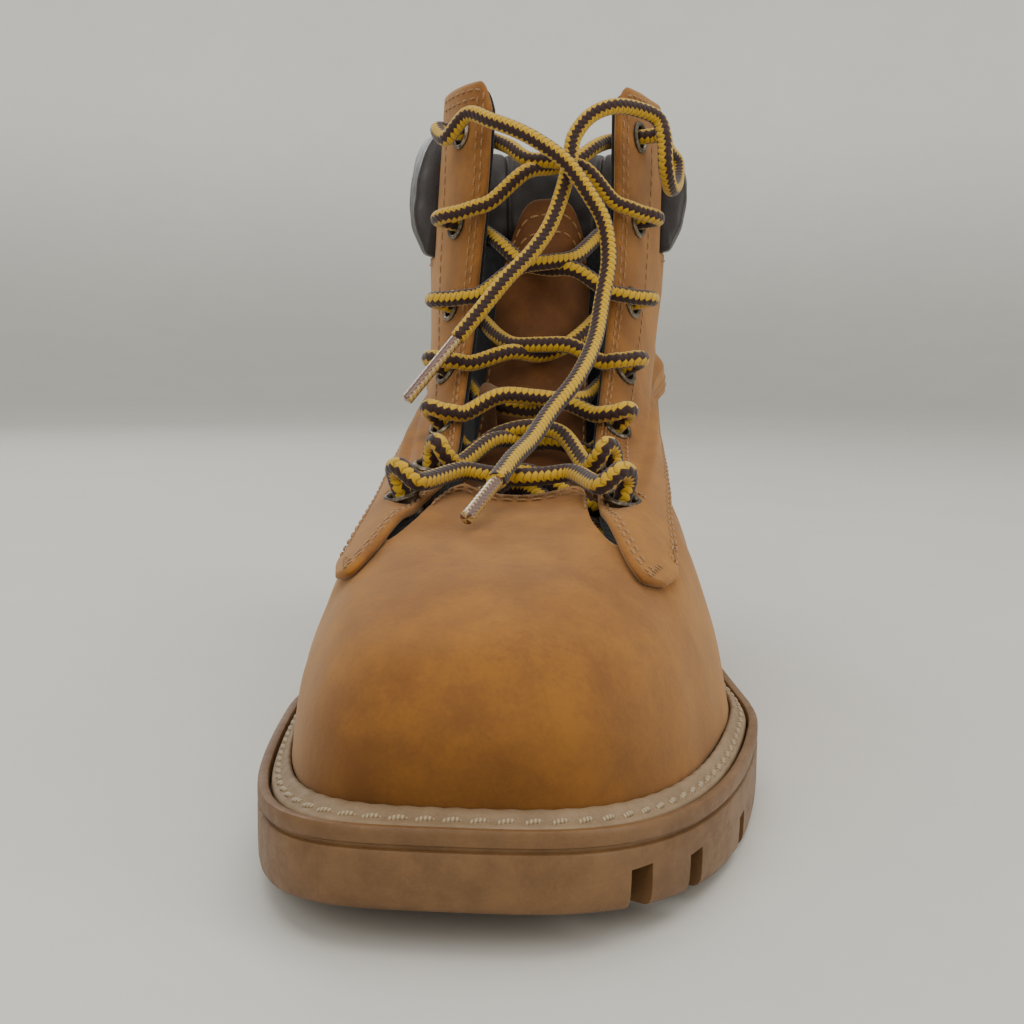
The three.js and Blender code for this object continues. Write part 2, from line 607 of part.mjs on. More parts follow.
function punchHoles(geometry, side) {
  let body = solidOf(geometry);
  const radius = EYELET_BARREL / 2 + HOLE_CLEARANCE;
  for (let row = 0; row < EYELET_ROWS; row += 1) {
    const punch = new THREE.CylinderGeometry(radius, radius, 24, 8).rotateX(Math.PI / 2);
    body = body.subtract(solidOf(seatedAt(punch, eyeletFrame(side, row))));
  }
  return geometryOf(body);
}

const SIDES = { lateral: 1, medial: -1 };
for (const [name, side] of Object.entries(SIDES)) {
  const shape = quarterOutline(side, halfGap, seamRise, quarterTop);
  const quarter = sheet(FRONT_ANGLES, shape, lapHeight, under(lapHeight, LEATHER));
  add(`quarter_${name}`, punchHoles(quarter, side), BROWN, 0.85);
  const liningShape = quarterOutline(side, sideLiningFront, flat(SIDE_LINING_FOOT), liningTop);
  const lining = sheet(FRONT_ANGLES, liningShape, liningOuter, liningInner);
  add(`quarter_lining_${name}`, punchHoles(lining, side), 0x1d1d1f, 0.9);
  for (let row = 0; row < EYELET_ROWS; row += 1) {
    add(`eyelet_${name}_${row + 1}`, eyeletGeometry(eyeletFrame(side, row)), 0x5a5448, 0.4, 1);
  }
}

// Backstay: cup over the heel, narrowing to a strip up to the collar.
const backstayHalf = table([[0, 42], [0.1, 40], [0.2, 32], [0.3, 20], [0.4, 13], [0.75, 11]]);
const backstayUnder = (angle, rise) => GLUE_GAP + (LEATHER + LAP_GAP)
  * smooth(0.24, 0.3, rise) * (1 - smooth(0.47, 0.56, rise));
const backstayShape = (column, row) => {
  const rise = clamp(row, SHEET_FOOT, collarFoot(180) - 0.015);
  const half = backstayHalf(rise);
  return [clamp(column, 180 - half, 180 + half), rise];
};
add('backstay', sheet(BACK_ANGLES, backstayShape,
  (angle, rise) => backstayUnder(angle, rise) + BACKSTAY_LEATHER, backstayUnder), TAN, 0.85);

// ---- collar -------------------------------------------------------------------------------
// Profiles are [height off the last, share of the collar's height].
const COLLAR_SKIN = [[0.2, 0], [0.55, 0.1], [0.9, 0.28], [1, 0.5], [0.8, 0.75], [0.35, 0.94],
  [-0.2, 1], [-0.7, 0.93], [-0.95, 0.72], [-0.95, 0.35], [-0.75, 0.02]];
const collarMiddle = [0, 0.5];
function collarProfile(angle, shrink) {
  const bottom = collarFoot(away(angle));
  const tall = onLast(angle, 1, 0).distanceTo(onLast(angle, bottom, 0));
  return COLLAR_SKIN.map(([off, up]) => {
    const side = off - collarMiddle[0];
    const rise = up - collarMiddle[1];
    const size = Math.hypot(side * COLLAR_BULGE, rise * tall);
    const k = 1 - shrink / size;
    const height = side * COLLAR_BULGE * k;
    const share = collarMiddle[1] + rise * k;
    return {
      point: onLast(angle, lerp(bottom, 1, share), height), capU: height, capV: share * tall,
    };
  });
}
const collarAngles = steps(20).map((s) => lerp(COLLAR_FRONT + 1, 359 - COLLAR_FRONT, s));
const collarCover = sweptProfile(collarAngles.map((angle) => (
  [...collarProfile(angle, 0), ...collarProfile(angle, COLLAR_LEATHER).reverse()])));
const collarFoam = sweptProfile(collarAngles.map((angle) => (
  collarProfile(angle, COLLAR_LEATHER + GLUE_GAP))));
add('collar', collarCover, CHARCOAL, 0.55);
add('collar_foam', collarFoam, 0xd8cf9f, 0.95);

// ---- tongue and lace keeper ------------------------------------------------------------------
const tongueFace = -INNER_FACE - LACE_CHANNEL;
const tongueHalf = table([[0.33, 32], [0.45, 36], [0.6, 39], [0.75, 40], [0.93, 41]]);
const TONGUE_TOP = 0.93;
// Tongue stations are shares: across from edge to edge, and up from its base to its top.
const tonguePlace = (across, up) => {
  const low = tongueBase(36 * across);
  const rise = lerp(low, TONGUE_TOP - 0.14 * Math.abs(across) ** 2.5, up);
  return [across * tongueHalf(rise), rise];
};
const tongueShape = (edge, low, high) => (across, up) => (
  tonguePlace(clamp(across, -edge, edge), clamp(up, low, high)));
const TONGUE_ACROSS = [-1, -0.9, -0.65, -0.4, -0.15, 0.15, 0.4, 0.65, 0.9, 1];
const TONGUE_UP = [0, 0.06, 0.12, 0.2, 0.3, 0.4, 0.5, 0.6, 0.7, 0.8, 0.9, 0.97, 1];
// The tongue leaves the vamp's underside and drops below the lace channel.
const tongueOuter = (angle, rise) => {
  const low = tongueBase(angle);
  return lerp(capOuter - 2 * GLUE_GAP, tongueFace, smooth(low + 0.01, low + 0.06, rise));
};
add('tongue', sheet(TONGUE_ACROSS, tongueShape(1, 0, 1), tongueOuter,
  under(tongueOuter, TONGUE_LEATHER), TONGUE_UP), BROWN, 0.85);
const paddingOuter = under(tongueOuter, TONGUE_LEATHER + 2 * GLUE_GAP);
add('tongue_padding', sheet(TONGUE_ACROSS, tongueShape(0.94, 0.1, 0.97), paddingOuter,
  under(paddingOuter, TONGUE_PADDING), TONGUE_UP), 0x1d1d1f, 0.95);

// The lace keeper: a strap on the tongue, bowed out over the lace.
const KEEPER_ROW = rowRises[3] + 0.004;
const KEEPER = { left: -27, right: -17, low: KEEPER_ROW - 0.03, high: KEEPER_ROW + 0.03,
  stand: LACE + 1.8, leather: 1.2 };
function keeperGeometry() {
  const bow = (shift) => steps(8).map((s) => {
    const round = Math.sin(Math.PI * s) ** 0.6;
    return [lerp(KEEPER.low, KEEPER.high, s), tongueFace + 2 * GLUE_GAP + shift + round * KEEPER.stand];
  });
  const profile = [...bow(KEEPER.leather), ...bow(0).reverse()];
  return sweptProfile(steps(3).map((s) => profile.map(([rise, off]) => ({
    point: onLast(lerp(KEEPER.left, KEEPER.right, s), rise, off), capU: rise * 300, capV: off,
  }))));
}
add('lace_keeper', keeperGeometry(), BROWN, 0.85);

// ---- lace ---------------------------------------------------------------------------------
// The lace is crossed from eyelet to eyelet. It leaves each eyelet outwards, goes over the edge
// of its stay, crosses the throat, dives under the other stay and comes out one row higher.
const LACE_OVER = LACE / 2 + 0.7;
const TONGUE_CLEARANCE = 1.4;
const LACE_UNDER = -INNER_FACE - LACE_CHANNEL + LACE / 2 + TONGUE_CLEARANCE;
const THROAT_HALF = 20;        // half the width that the lace crosses between the stays
// How far each crossing arches up the throat, from the lowest pair of rows to the highest.
const ARCH = [0.135, 0.085, 0.045, 0.03, 0.02, 0.02];

// A lace point: millimetres forward of an eyelet's centre, its rise and its height off the last.
const lacePoint = (side, rise, forward, off) => onLast(
  side * (halfGap(rise) + degreesFor(EYELET_SETBACK - forward, side * 45, rise)), rise, off);
const shareOfWay = (forward) => (forward / (EYELET_SETBACK + THROAT_HALF)) ** 1.6;

// From inside the boot, out through an eyelet.
function passOut(side, row) {
  const { rise, lift } = eyeletFrame(side, row);
  return [[0, -INNER_FACE + 0.8], [0, lift + 1.4], [-0.5, lift + 4.3]]
    .map(([forward, off]) => lacePoint(side, rise, forward, off));
}
// Outside the stay, from its eyelet over its front edge; target is the rise of the crossing.
function overStay(side, row, target) {
  const { rise, lift } = eyeletFrame(side, row);
  return [[1.6, lift + 6.9], [5.4, lift + 7.4], [9.8, lift + 5.4], [13.2, lift + LACE_OVER + 1],
    [17.2, 1.5]].map(([forward, off]) => (
    lacePoint(side, lerp(rise, target, shareOfWay(forward)), forward, off)));
}
// Under the stay, from its front edge to its eyelet.
function underStay(side, row, target) {
  const { rise } = eyeletFrame(side, row);
  return [[17.6, LACE_UNDER + 0.6], [13, LACE_UNDER], [7.4, LACE_UNDER], [3.4, LACE_UNDER + 0.2],
    [0.9, LACE_UNDER + 1.4]].map(([forward, off]) => (
    lacePoint(side, lerp(rise, target, shareOfWay(forward)), forward, off)));
}

// The lowest stretch is a bar across the top of the vamp.
const BAR_RISE = tongueBase(0) + 0.085;
const BAR_OVER = LACE_OVER + 1.8;

// Half of the threaded run, from the bar over the vamp up to the top eyelet it comes out of.
function laceHalf(firstSide, middleOff) {
  const lowest = EYELET_ROWS - 1;
  const points = overStay(firstSide, lowest, BAR_RISE).slice(0, 4).reverse();
  points.unshift(onLast(firstSide * 10, BAR_RISE, BAR_OVER), onLast(firstSide * 21, BAR_RISE - 0.015,
    BAR_OVER + 0.4));
  points.push(...passOut(firstSide, lowest).reverse());
  let side = firstSide;
  for (let row = lowest; row > 0; row -= 1) {
    const here = rowRises[row];
    const above = rowRises[row - 1];
    const target = (here + above) / 2 + ARCH[lowest - row];
    const leaving = row === lowest ? underStay(side, row, target).reverse()
      : overStay(side, row, target);
    const leavingOff = row === lowest ? LACE_UNDER + 0.8 : 1.5;
    const beforeMiddle = onLast(side * QUARTER_WAY, lerp(here, target, 0.86),
      (leavingOff + middleOff) / 2 + 0.5);
    const pastMiddle = onLast(-side * QUARTER_WAY, lerp(above, target, 0.86),
      (LACE_UNDER + 0.8 + middleOff) / 2 + 0.3);
    points.push(...leaving, beforeMiddle, onLast(0, target, middleOff), pastMiddle);
    side = -side;
    points.push(...underStay(side, row - 1, target), ...passOut(side, row - 1));
  }
  return points;
}
const QUARTER_WAY = 13;        // degrees from the middle
const UPPER_STRAND = LACE_UNDER + LACE + 0.6;
const barMiddle = onLast(0, BAR_RISE, BAR_OVER);
const runPoints = [...laceHalf(-1, UPPER_STRAND).reverse(), barMiddle,
  ...laceHalf(1, LACE_UNDER + 0.1)];
const smoothCurve = (points) => new THREE.CatmullRomCurve3(points, false, 'centripetal');
add('lace', tube(smoothCurve(runPoints), LACE, 6, 3.3), 0xc9a23a, 0.8);

// The two free ends, as [angle, rise, height off the last].
const MEDIAL_END = [[-42, 0.97, 9], [-31, 0.99, 10], [-22, 0.98, 10.5], [-14, 0.97, 10.5],
  [-8, 0.96, 10.6], [1, 0.94, 10.6], [9, 0.91, 10.4], [15, 0.88, 10.4], [18, 0.84, 10.4],
  [18, 0.79, 10], [19, 0.72, 10], [15, 0.66, 10], [8, 0.62, 9.5], [3, 0.58, 9.6], [-1, 0.54, 9.5],
  [-4, 0.5, 7.2]];
const MEDIAL_TIP = [-9, 0.44, 3.4];
const LATERAL_END = [[53, 0.97, 7], [59, 0.955, 8.5], [55, 0.93, 9.5], [44, 0.92, 11.5],
  [36, 0.94, 14], [34, 0.97, 14.5], [33, 0.99, 13], [26, 1, 10.5], [17, 1, 9], [10, 0.99, 7],
  [5, 0.97, 5.6], [4, 0.95, 5.4], [2, 0.92, 5.6], [-2, 0.88, 5.8], [-7, 0.85, 7], [-13, 0.82, 9],
  [-20, 0.77, 10.6]];
const LATERAL_TIP = [-50, 0.58, 11.5];

function freeEnd(name, side, route, tip) {
  const [, exit, bend] = passOut(side, 0);
  const outward = bend.clone().sub(exit).normalize();
  const start = bend.clone().addScaledVector(outward, 0.4);
  const straight = start.clone().addScaledVector(outward, 2.5);
  const knots = [start, straight, ...route.map((spot) => onLast(...spot))];
  const end = onLast(...tip);
  const toTip = end.clone().sub(knots.at(-1)).normalize();
  const seat = end.clone().addScaledVector(toTip, -AGLET_LENGTH);
  const curve = smoothCurve([...knots, seat]);
  add(`lace_end_${name}`, tube(curve, LACE, 8, 7), 0xc9a23a, 0.8);
  const from = seat.clone().addScaledVector(toTip, 0.4);
  const aglet = new THREE.CylinderGeometry(LACE / 2 - AGLET_WALL, LACE / 2 + AGLET_WALL,
    from.distanceTo(end), 8).rotateX(Math.PI / 2);
  const turn = new THREE.Quaternion().setFromUnitVectors(new THREE.Vector3(0, 0, 1), toTip);
  const centre = from.clone().lerp(end, 0.5);
  add(`aglet_${name}`, aglet.applyQuaternion(turn).translate(centre.x, centre.y, centre.z),
    0xd8c9a0, 0.3);
}
freeEnd('medial', -1, MEDIAL_END, MEDIAL_TIP);
freeEnd('lateral', 1, LATERAL_END, LATERAL_TIP);

export default group;
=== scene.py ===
# A left steel-toe work boot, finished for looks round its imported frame.
# Lengths are millimetres until a mesh is made, where MM turns them into metres.
# +Z is up, the toe points to -Y and the outer (lateral) side is +X.
import math

import bmesh
import bpy
import numpy as np
from mathutils import Matrix, Vector


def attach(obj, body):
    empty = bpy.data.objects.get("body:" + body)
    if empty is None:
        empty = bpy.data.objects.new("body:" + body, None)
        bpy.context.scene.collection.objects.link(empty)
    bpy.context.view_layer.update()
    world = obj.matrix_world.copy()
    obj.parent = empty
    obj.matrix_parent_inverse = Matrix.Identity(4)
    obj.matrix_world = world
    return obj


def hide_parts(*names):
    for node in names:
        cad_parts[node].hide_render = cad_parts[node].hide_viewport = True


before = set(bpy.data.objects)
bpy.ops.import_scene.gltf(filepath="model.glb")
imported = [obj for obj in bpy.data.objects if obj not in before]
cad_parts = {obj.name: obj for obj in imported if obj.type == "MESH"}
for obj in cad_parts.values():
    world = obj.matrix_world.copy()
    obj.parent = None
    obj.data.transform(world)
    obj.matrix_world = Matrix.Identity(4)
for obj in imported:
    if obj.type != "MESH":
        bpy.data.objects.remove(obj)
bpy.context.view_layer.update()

MM = 0.001

# ---- sizes that the frame was built with ------------------------------------------------
WELT_THICKNESS, RIM_WIDTH, BOARD_THICKNESS = 3.0, 2.2, 2.0
LEATHER, BACKSTAY_LEATHER, LINING = 2.0, 1.6, 1.0
GLUE_GAP, CURVE_GAP, LAP_GAP = 0.4, 0.3, 1.2
EYELET_ROWS, EYELET_SETBACK = 7, 13.0
EYELET_BORE, EYELET_BARREL, EYELET_FLANGE = 6.4, 7.4, 9.4
LACE, LACE_CHANNEL, AGLET_LENGTH = 4.4, 7.4, 22.0
TONGUE_LEATHER, TONGUE_PADDING = 1.5, 3.2
COLLAR_BULGE = 6.5
CAP_OUTER = -LEATHER - GLUE_GAP - CURVE_GAP
INNER_FACE = LINING - CAP_OUTER
BACK_SEAM = 172.0
SPINE = 0.44
SIDES = {"lateral": 1, "medial": -1}


# ---- small helpers ----------------------------------------------------------------------
def lerp(a, b, s):
    return a + (b - a) * s


def smooth(a, b, x):
    """Rises from 0 at a to 1 at b as s*s*(3 - 2s)."""
    s = np.clip((np.asarray(x, float) - a) / (b - a), 0, 1)
    return s * s * (3 - 2 * s)


def table(pairs):
    """A monotone cubic through [x, y] pairs, flat beyond its ends; inner slopes are harmonic
    means."""
    x, y = np.array(pairs, float).T
    slope = np.diff(y) / np.diff(x)
    before, after = slope[:-1], slope[1:]
    same_way = before * after > 0
    total = np.where(same_way, before + after, 1.0)
    tangent = np.concatenate([slope[:1], np.where(same_way, 2 * before * after / total, 0),
                              slope[-1:]])

    def at(value):
        value = np.clip(value, x[0], x[-1])
        i = np.clip(np.searchsorted(x, value, side="right") - 1, 0, len(x) - 2)
        width = x[i + 1] - x[i]
        s = (value - x[i]) / width
        cubic = y[i] * (1 + 2 * s) * (1 - s) ** 2 + y[i + 1] * s * s * (3 - 2 * s)
        return cubic + width * (tangent[i] * s * (1 - s) ** 2 - tangent[i + 1] * s * s * (1 - s))
    return at


def unit(vectors):
    return vectors / np.maximum(np.linalg.norm(vectors, axis=-1, keepdims=True), 1e-12)


def ripple(points, wavelength, seed):
    """Slow waves in space, from -1 to 1: the mean of seven sines in fixed scattered directions."""
    k = np.arange(7) + 1.0
    turn, tilt = 2.399963 * k + seed, np.arccos(1 - (2 * k - 1) / 7)
    way = np.stack([np.sin(tilt) * np.cos(turn), np.sin(tilt) * np.sin(turn), np.cos(tilt)], -1)
    phase = (points @ way.T) * (2 * np.pi / wavelength) * (0.7 + 0.09 * k) + 1.7 * k * (seed + 1)
    return np.sin(phase).mean(-1) * 1.8


def stations(count, edge):
    """Shares from 0 to 1 with one close row just inside each end, where an edge is rounded."""
    return np.concatenate([[0], np.linspace(edge, 1 - edge, count), [1]])


def share_grid(across, edge_across, up, edge_up):
    """Two grids of shares, one across a sheet and one up it."""
    return np.meshgrid(stations(across, edge_across), stations(up, edge_up), indexing="ij")


def full_turn(count):
    """Angles in radians, evenly once round."""
    return np.arange(count) * 2 * np.pi / count


def run_along(line):
    """The length from a line's start to each of its points."""
    return np.concatenate([[0], np.cumsum(np.linalg.norm(np.diff(line, axis=0), axis=1))])


def resampled(where, run, line):
    """The places on a line at given lengths from its start."""
    return np.stack([np.interp(where, run, line[:, k]) for k in range(3)], 1)


# ---- the last: every upper piece lies on it ------------------------------------------------
# Columns: rise, front y, front up, back y, back up, three outer and three inner half widths
# (ball, waist, heel), how square the toe is, and how far the toe swings to the inner side.
RINGS = np.array([
    [0.00, -144, 0, 146, 0, 50.5, 38, 34, 46.5, 31, 34, 0.60, -4],
    [0.12, -146, 12.5, 149, 19, 47, 36.5, 36, 44.5, 33, 36, 0.64, -4],
    [0.22, -139, 26, 148, 39, 41, 34.5, 37, 39, 32, 36, 0.70, -4],
    [0.33, -116, 37, 145, 57, 34, 32, 36, 32, 31, 36, 0.80, -3],
    [0.44, -84, 43.5, 140, 71, 30.5, 32.5, 35, 29.5, 31.5, 35, 0.88, -2],
    [0.55, -50, 49, 136, 82, 30, 34, 34, 29, 33, 34, 0.90, 0],
    [0.66, -16, 65, 134, 93, 30.5, 36, 33, 30, 35, 33, 0.92, 0],
    [0.77, 3, 81, 132, 105, 31, 37.5, 33, 31, 36.5, 33, 0.95, 0],
    [0.88, 14, 106, 132, 119, 31.5, 38, 34, 31.5, 38, 34, 0.95, 0],
    [1.00, 22, 138.5, 131, 135, 31, 38.5, 34, 31, 38.5, 34, 0.95, 0],
    [1.10, 27, 162, 131, 148, 31, 38.5, 34, 31, 38.5, 34, 0.95, 0],
])
RING = [table(RINGS[:, [0, column]]) for column in range(1, RINGS.shape[1])]
BALL_AT, WAIST_AT, HEEL_AT = 0.28, 0.58, 0.82
MIDDLE_LINE = 2.5
THROAT_DRIFT = 8.0


def welt_top(y):
    """Height of the welt's top face: level at the ball, up at the heel, turned up at the toe."""
    toe = np.clip((-95 - y) / 50, 0, 1.2)
    return 18.5 + 18.5 * smooth(-45, 75, y) + 3 * toe ** 2


def foot_plan(angle, front, back, outer, inner, blunt, swing):
    """A foot-shaped outline: x is a half width (blended from ball to waist to heel) times a
    blunted
    sine of the angle, and y runs from front to back as (1 - cosine) / 2."""
    s = np.sin(np.radians(angle))
    along = (1 - np.cos(np.radians(angle))) / 2
    full = [np.where(s >= 0, o, i) / (2 * math.sqrt(at * (1 - at))) ** blunt
            for o, i, at in zip(outer, inner, (BALL_AT, WAIST_AT, HEEL_AT))]
    half = lerp(full[0], full[1], smooth(BALL_AT, WAIST_AT, along))
    half = lerp(half, full[2], smooth(WAIST_AT, HEEL_AT, along))
    toeward = np.maximum(0, 1 - along / 0.3) ** 1.5
    x = half * np.sign(s) * np.abs(s) ** blunt + swing * toeward - MIDDLE_LINE
    return x, lerp(front, back, along), along


def last_point(angle, rise):
    front, front_up, back, back_up, *widths, blunt, swing = [column(rise) for column in RING]
    x, y, along = foot_plan(angle, front, back, widths[:3], widths[3:], blunt, swing)
    flat = lerp(welt_top(front), welt_top(back), along)
    follow = np.clip(1 - rise / 0.5, 0, 1) ** 1.5
    z = lerp(flat, welt_top(y), follow) + lerp(front_up, back_up, along)
    return np.stack([x, y, z], -1)


def last_normal(angle, rise):
    around = last_point(angle + 0.5, rise) - last_point(angle - 0.5, rise)
    upward = last_point(angle, rise + 0.004) - last_point(angle, np.maximum(0, rise - 0.004))
    return unit(np.cross(around, upward))


def away(angle):
    return 180 - np.abs(180 - np.abs(angle))


def drifted(angle, rise):
    """The throat's middle line drifts to the outer side towards the top; the heel stays put."""
    return angle + THROAT_DRIFT * smooth(0.55, 1, rise) * (1 - smooth(80, 150, away(angle)))


def on_last(angle, rise, off=0.0):
    """A point of the last's surface, moved out along its normal by off."""
    angle, rise = np.broadcast_arrays(np.asarray(angle, float), np.asarray(rise, float))
    turned = drifted(angle, rise)
    lift = np.broadcast_to(np.asarray(off, float), angle.shape)[..., None]
    return last_point(turned, rise) + last_normal(turned, rise) * lift


def out_of(angle, rise):
    return last_normal(drifted(angle, rise), rise)


def degrees_for(distance, angle, rise):
    step = on_last(angle + 1, rise) - on_last(angle - 1, rise)
    return distance / (np.linalg.norm(step, axis=-1) / 2)


def rise_for(distance, angle, rise):
    step = on_last(angle, rise + 0.01) - on_last(angle, rise - 0.01)
    return distance / (np.linalg.norm(step, axis=-1) / 0.02)


# ---- pattern lines of the upper -------------------------------------------------------------
half_gap = table([[0.243, 47], [0.27, 41], [0.3, 39.5], [0.37, 38], [0.487, 34],
                  [0.573, 31], [0.67, 33], [0.8, 34], [0.91, 33], [1.05, 32]])
vamp_top = table([[0, 0.55], [20, 0.55], [26, 0.53], [33, 0.41], [40, 0.34], [50, 0.328],
                  [60, 0.35], [70, 0.38], [80, 0.4], [100, 0.42], [130, 0.41], [172, 0.4]])
seam_rise = table([[47, 0.243], [52, 0.24], [60, 0.285], [72, 0.335], [85, 0.36],
                   [100, 0.37], [130, 0.36], [172, 0.35]])
collar_foot = table([[74, 0.835], [110, 0.8], [180, 0.75]])
backstay_half = table([[0, 42], [0.1, 40], [0.2, 32], [0.3, 20], [0.4, 13], [0.75, 11]])
tongue_half = table([[0.33, 32], [0.45, 36], [0.6, 39], [0.75, 40], [0.93, 41]])
STAY_TOP, STAY_BACK, COLLAR_FRONT = 1.045, 71.0, 76.5
TONGUE_TOP = 0.93
SIDE_LINING_FOOT = 0.3
SHEET_FOOT = 0.004
TONGUE_FACE = -INNER_FACE - LACE_CHANNEL


def tongue_base(angle):
    return 0.46 - 0.15 * smooth(0, 39, np.abs(angle))


def stay_angle(side, rise, back):
    return side * (half_gap(rise) + degrees_for(back, side * 45.0, rise))


def quarter_top(angle):
    return lerp(STAY_TOP, collar_foot(angle) - 0.0025, smooth(STAY_BACK, COLLAR_FRONT, angle))


def lap_shape(angle, rise):
    """1 where the quarter laps over the vamp, 0 just above the vamp's top edge."""
    edge = vamp_top(np.minimum(BACK_SEAM, away(angle)))
    return 1 - smooth(edge + 0.03, edge + 0.08, rise)


def frame_lap(angle, rise):
    return (LEATHER + LAP_GAP) * lap_shape(angle, rise)


def leather_lap(angle, rise):
    """The lap of the soft leather, which settles a little closer than the frame's."""
    return (LEATHER + 0.45) * lap_shape(angle, rise)


# ---- meshes ----------------------------------------------------------------------------------
def weld(points, faces, grid=1e-3):
    """Joins points that share a place and renumbers the faces to match; faces left without area
    stay.
    """
    _, first, index = np.unique(np.round(points / grid).astype(np.int64), axis=0,
                                return_index=True, return_inverse=True)
    faces = index.reshape(-1)[faces]
    return points[first], faces


def facing_out(points, faces):
    """Turns the faces round if the volume that they enclose comes out negative."""
    a, b, c = (points[faces[:, k]] for k in (0, 1, 2))
    volume = (a * np.cross(b, c)).sum()
    if faces.shape[1] == 4:
        d = points[faces[:, 3]]
        volume += (a * np.cross(c, d)).sum()
    return faces[:, ::-1] if volume < 0 else faces


def smooth_mesh(name, points, quads, triangles):
    """A smooth-shaded mesh from points in mm and the point numbers of its quads and triangles."""
    mesh = bpy.data.meshes.new(name)
    mesh.vertices.add(len(points))
    mesh.vertices.foreach_set("co", (points * MM).astype(np.float32).ravel())
    corners = np.concatenate([quads.ravel(), triangles.ravel()]).astype(np.int32)
    starts = np.concatenate([np.arange(len(quads)) * 4,
                             len(quads) * 4 + np.arange(len(triangles)) * 3])
    mesh.loops.add(len(corners))
    mesh.loops.foreach_set("vertex_index", corners)
    mesh.polygons.add(len(starts))
    mesh.polygons.foreach_set("loop_start", starts.astype(np.int32))
    mesh.polygons.foreach_set("use_smooth", np.ones(len(starts), bool))
    mesh.update(calc_edges=True)
    return mesh


def lay_map(mesh, corner_uv):
    """Gives a mesh one map, with a place for each corner of each face."""
    layer = mesh.uv_layers.new(name="UVMap")
    layer.data.foreach_set("uv", corner_uv.astype(np.float32).ravel())


def placed(name, mesh, material, slot, body):
    """Puts a finished mesh at the origin as a piece of a body."""
    piece = bpy.data.objects.new(name, mesh)
    bpy.context.collection.objects.link(piece)
    mesh.materials.append(material)
    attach(piece, body)
    return piece


def new_piece(name, points, faces, material, slot, body="boot", uv=None):
    """Puts points (in mm) and quads into a mesh object at the origin; a quad whose neighbours fell
    together becomes a triangle."""
    faces = np.asarray(faces)
    if faces.shape[1] == 4:
        twin = [faces[:, k] == faces[:, (k + 1) % 4] for k in range(4)]
        bad = (faces[:, 0] == faces[:, 2]) | (faces[:, 1] == faces[:, 3])
        count = sum(t.astype(int) for t in twin)
        quads = faces[(count == 0) & ~bad]
        pinched = faces[(count == 1) & ~bad]
        shift = np.argmax(np.stack([t[(count == 1) & ~bad] for t in twin], 1), axis=1)
        pick = (shift[:, None] + np.array([1, 2, 3])) % 4
        triangles = np.take_along_axis(pinched, pick, 1)
    else:
        quads, triangles = np.empty((0, 4), int), faces
    mesh = smooth_mesh(name, points, quads, triangles)
    mesh.validate()
    if uv is not None:
        corner_vertex = np.empty(len(mesh.loops), np.int32)
        mesh.loops.foreach_get("vertex_index", corner_vertex)
        lay_map(mesh, uv[corner_vertex])
    return placed(name, mesh, material, slot, body)


def grid_faces(rows, columns, closed_rows=False, closed_columns=False):
    """The quads of a grid whose point (i, j) has number i * columns + j."""
    i = np.arange(rows if closed_rows else rows - 1)
    j = np.arange(columns if closed_columns else columns - 1)
    i, j = (m.ravel() for m in np.meshgrid(i, j, indexing="ij"))
    i2, j2 = (i + 1) % rows, (j + 1) % columns
    return np.stack([i * columns + j, i2 * columns + j, i2 * columns + j2, i * columns + j2], 1)


def shell(outer, inner, bulge=0.3):
    """Closes two grids of points into one body. Round the edge it adds a middle row that stands
    out by bulge times the thickness, so that a cut edge of leather comes out rounded."""
    rows, columns = outer.shape[:2]
    number = np.arange(rows * columns).reshape(rows, columns)
    loop = np.concatenate([number[:-1, 0], number[-1, :-1], number[:0:-1, -1], number[0, :0:-1]])
    inside_i = np.clip(np.arange(rows), 1, rows - 2)
    inside_j = np.clip(np.arange(columns), 1, columns - 2)
    inward = number[np.ix_(inside_i, inside_j)].ravel()[loop]
    top, low = outer.reshape(-1, 3), inner.reshape(-1, 3)
    middle = (top + low)[loop] / 2
    thick = np.linalg.norm((top - low)[loop], axis=1, keepdims=True)
    middle = middle + unit(middle - (top + low)[inward] / 2) * thick * bulge
    shift, size = rows * columns, len(loop)
    faces = grid_faces(rows, columns)
    rim = np.arange(size)
    after = (rim + 1) % size
    side_a = np.stack([loop[rim], 2 * shift + rim, 2 * shift + after, loop[after]], 1)
    side_b = np.stack([2 * shift + rim, shift + loop[rim], shift + loop[after], 2 * shift + after],
                      1)
    points = np.concatenate([top, low, middle])
    faces = np.concatenate([faces, shift + faces[:, ::-1], side_a, side_b])
    return points, facing_out(points, matched_rim(faces, (rows - 1) * (columns - 1)))


def matched_rim(faces, grid_count):
    """Turns the rim's quads round unless the first of them runs against the grid quad beside
    it."""
    a, b = faces[2 * grid_count, 0], faces[2 * grid_count, 3]
    for quad in faces[:grid_count][np.any(faces[:grid_count] == a, axis=1)]:
        if any(quad[k] == a and quad[(k + 1) % 4] == b for k in range(4)):
            return faces
    return np.concatenate([faces[:2 * grid_count], faces[2 * grid_count:, ::-1]])


def rounded_edge(shape, edge):
    """How far each face of a sheet draws back at its boundary row, and nowhere else."""
    drop = np.zeros(shape)
    drop[[0, -1], :] = edge
    drop[:, [0, -1]] = edge
    return drop


def leather_sheet(name, angle, rise, top, thickness, material, slot, body="boot"):
    """A sheet on the last: its outer face stands top(angle, rise) off it and its edges are
    rounded."""
    height = top(angle, rise)
    drop = rounded_edge(angle.shape, 0.3 * thickness)
    outer = on_last(angle, rise, height - drop)
    inner = on_last(angle, rise, height - thickness + drop)
    points, faces = shell(outer, inner)
    return new_piece(name, points, faces, material, slot, body)


def column_grid(first, last, low, high, across, up, edge=0.004):
    """Angles and rises of a sheet between two end angles and a lower and an upper edge."""
    u, v = share_grid(across, edge, up, edge * 2)
    angle = lerp(first, last, u)
    return angle, lerp(low(angle), high(angle), v)


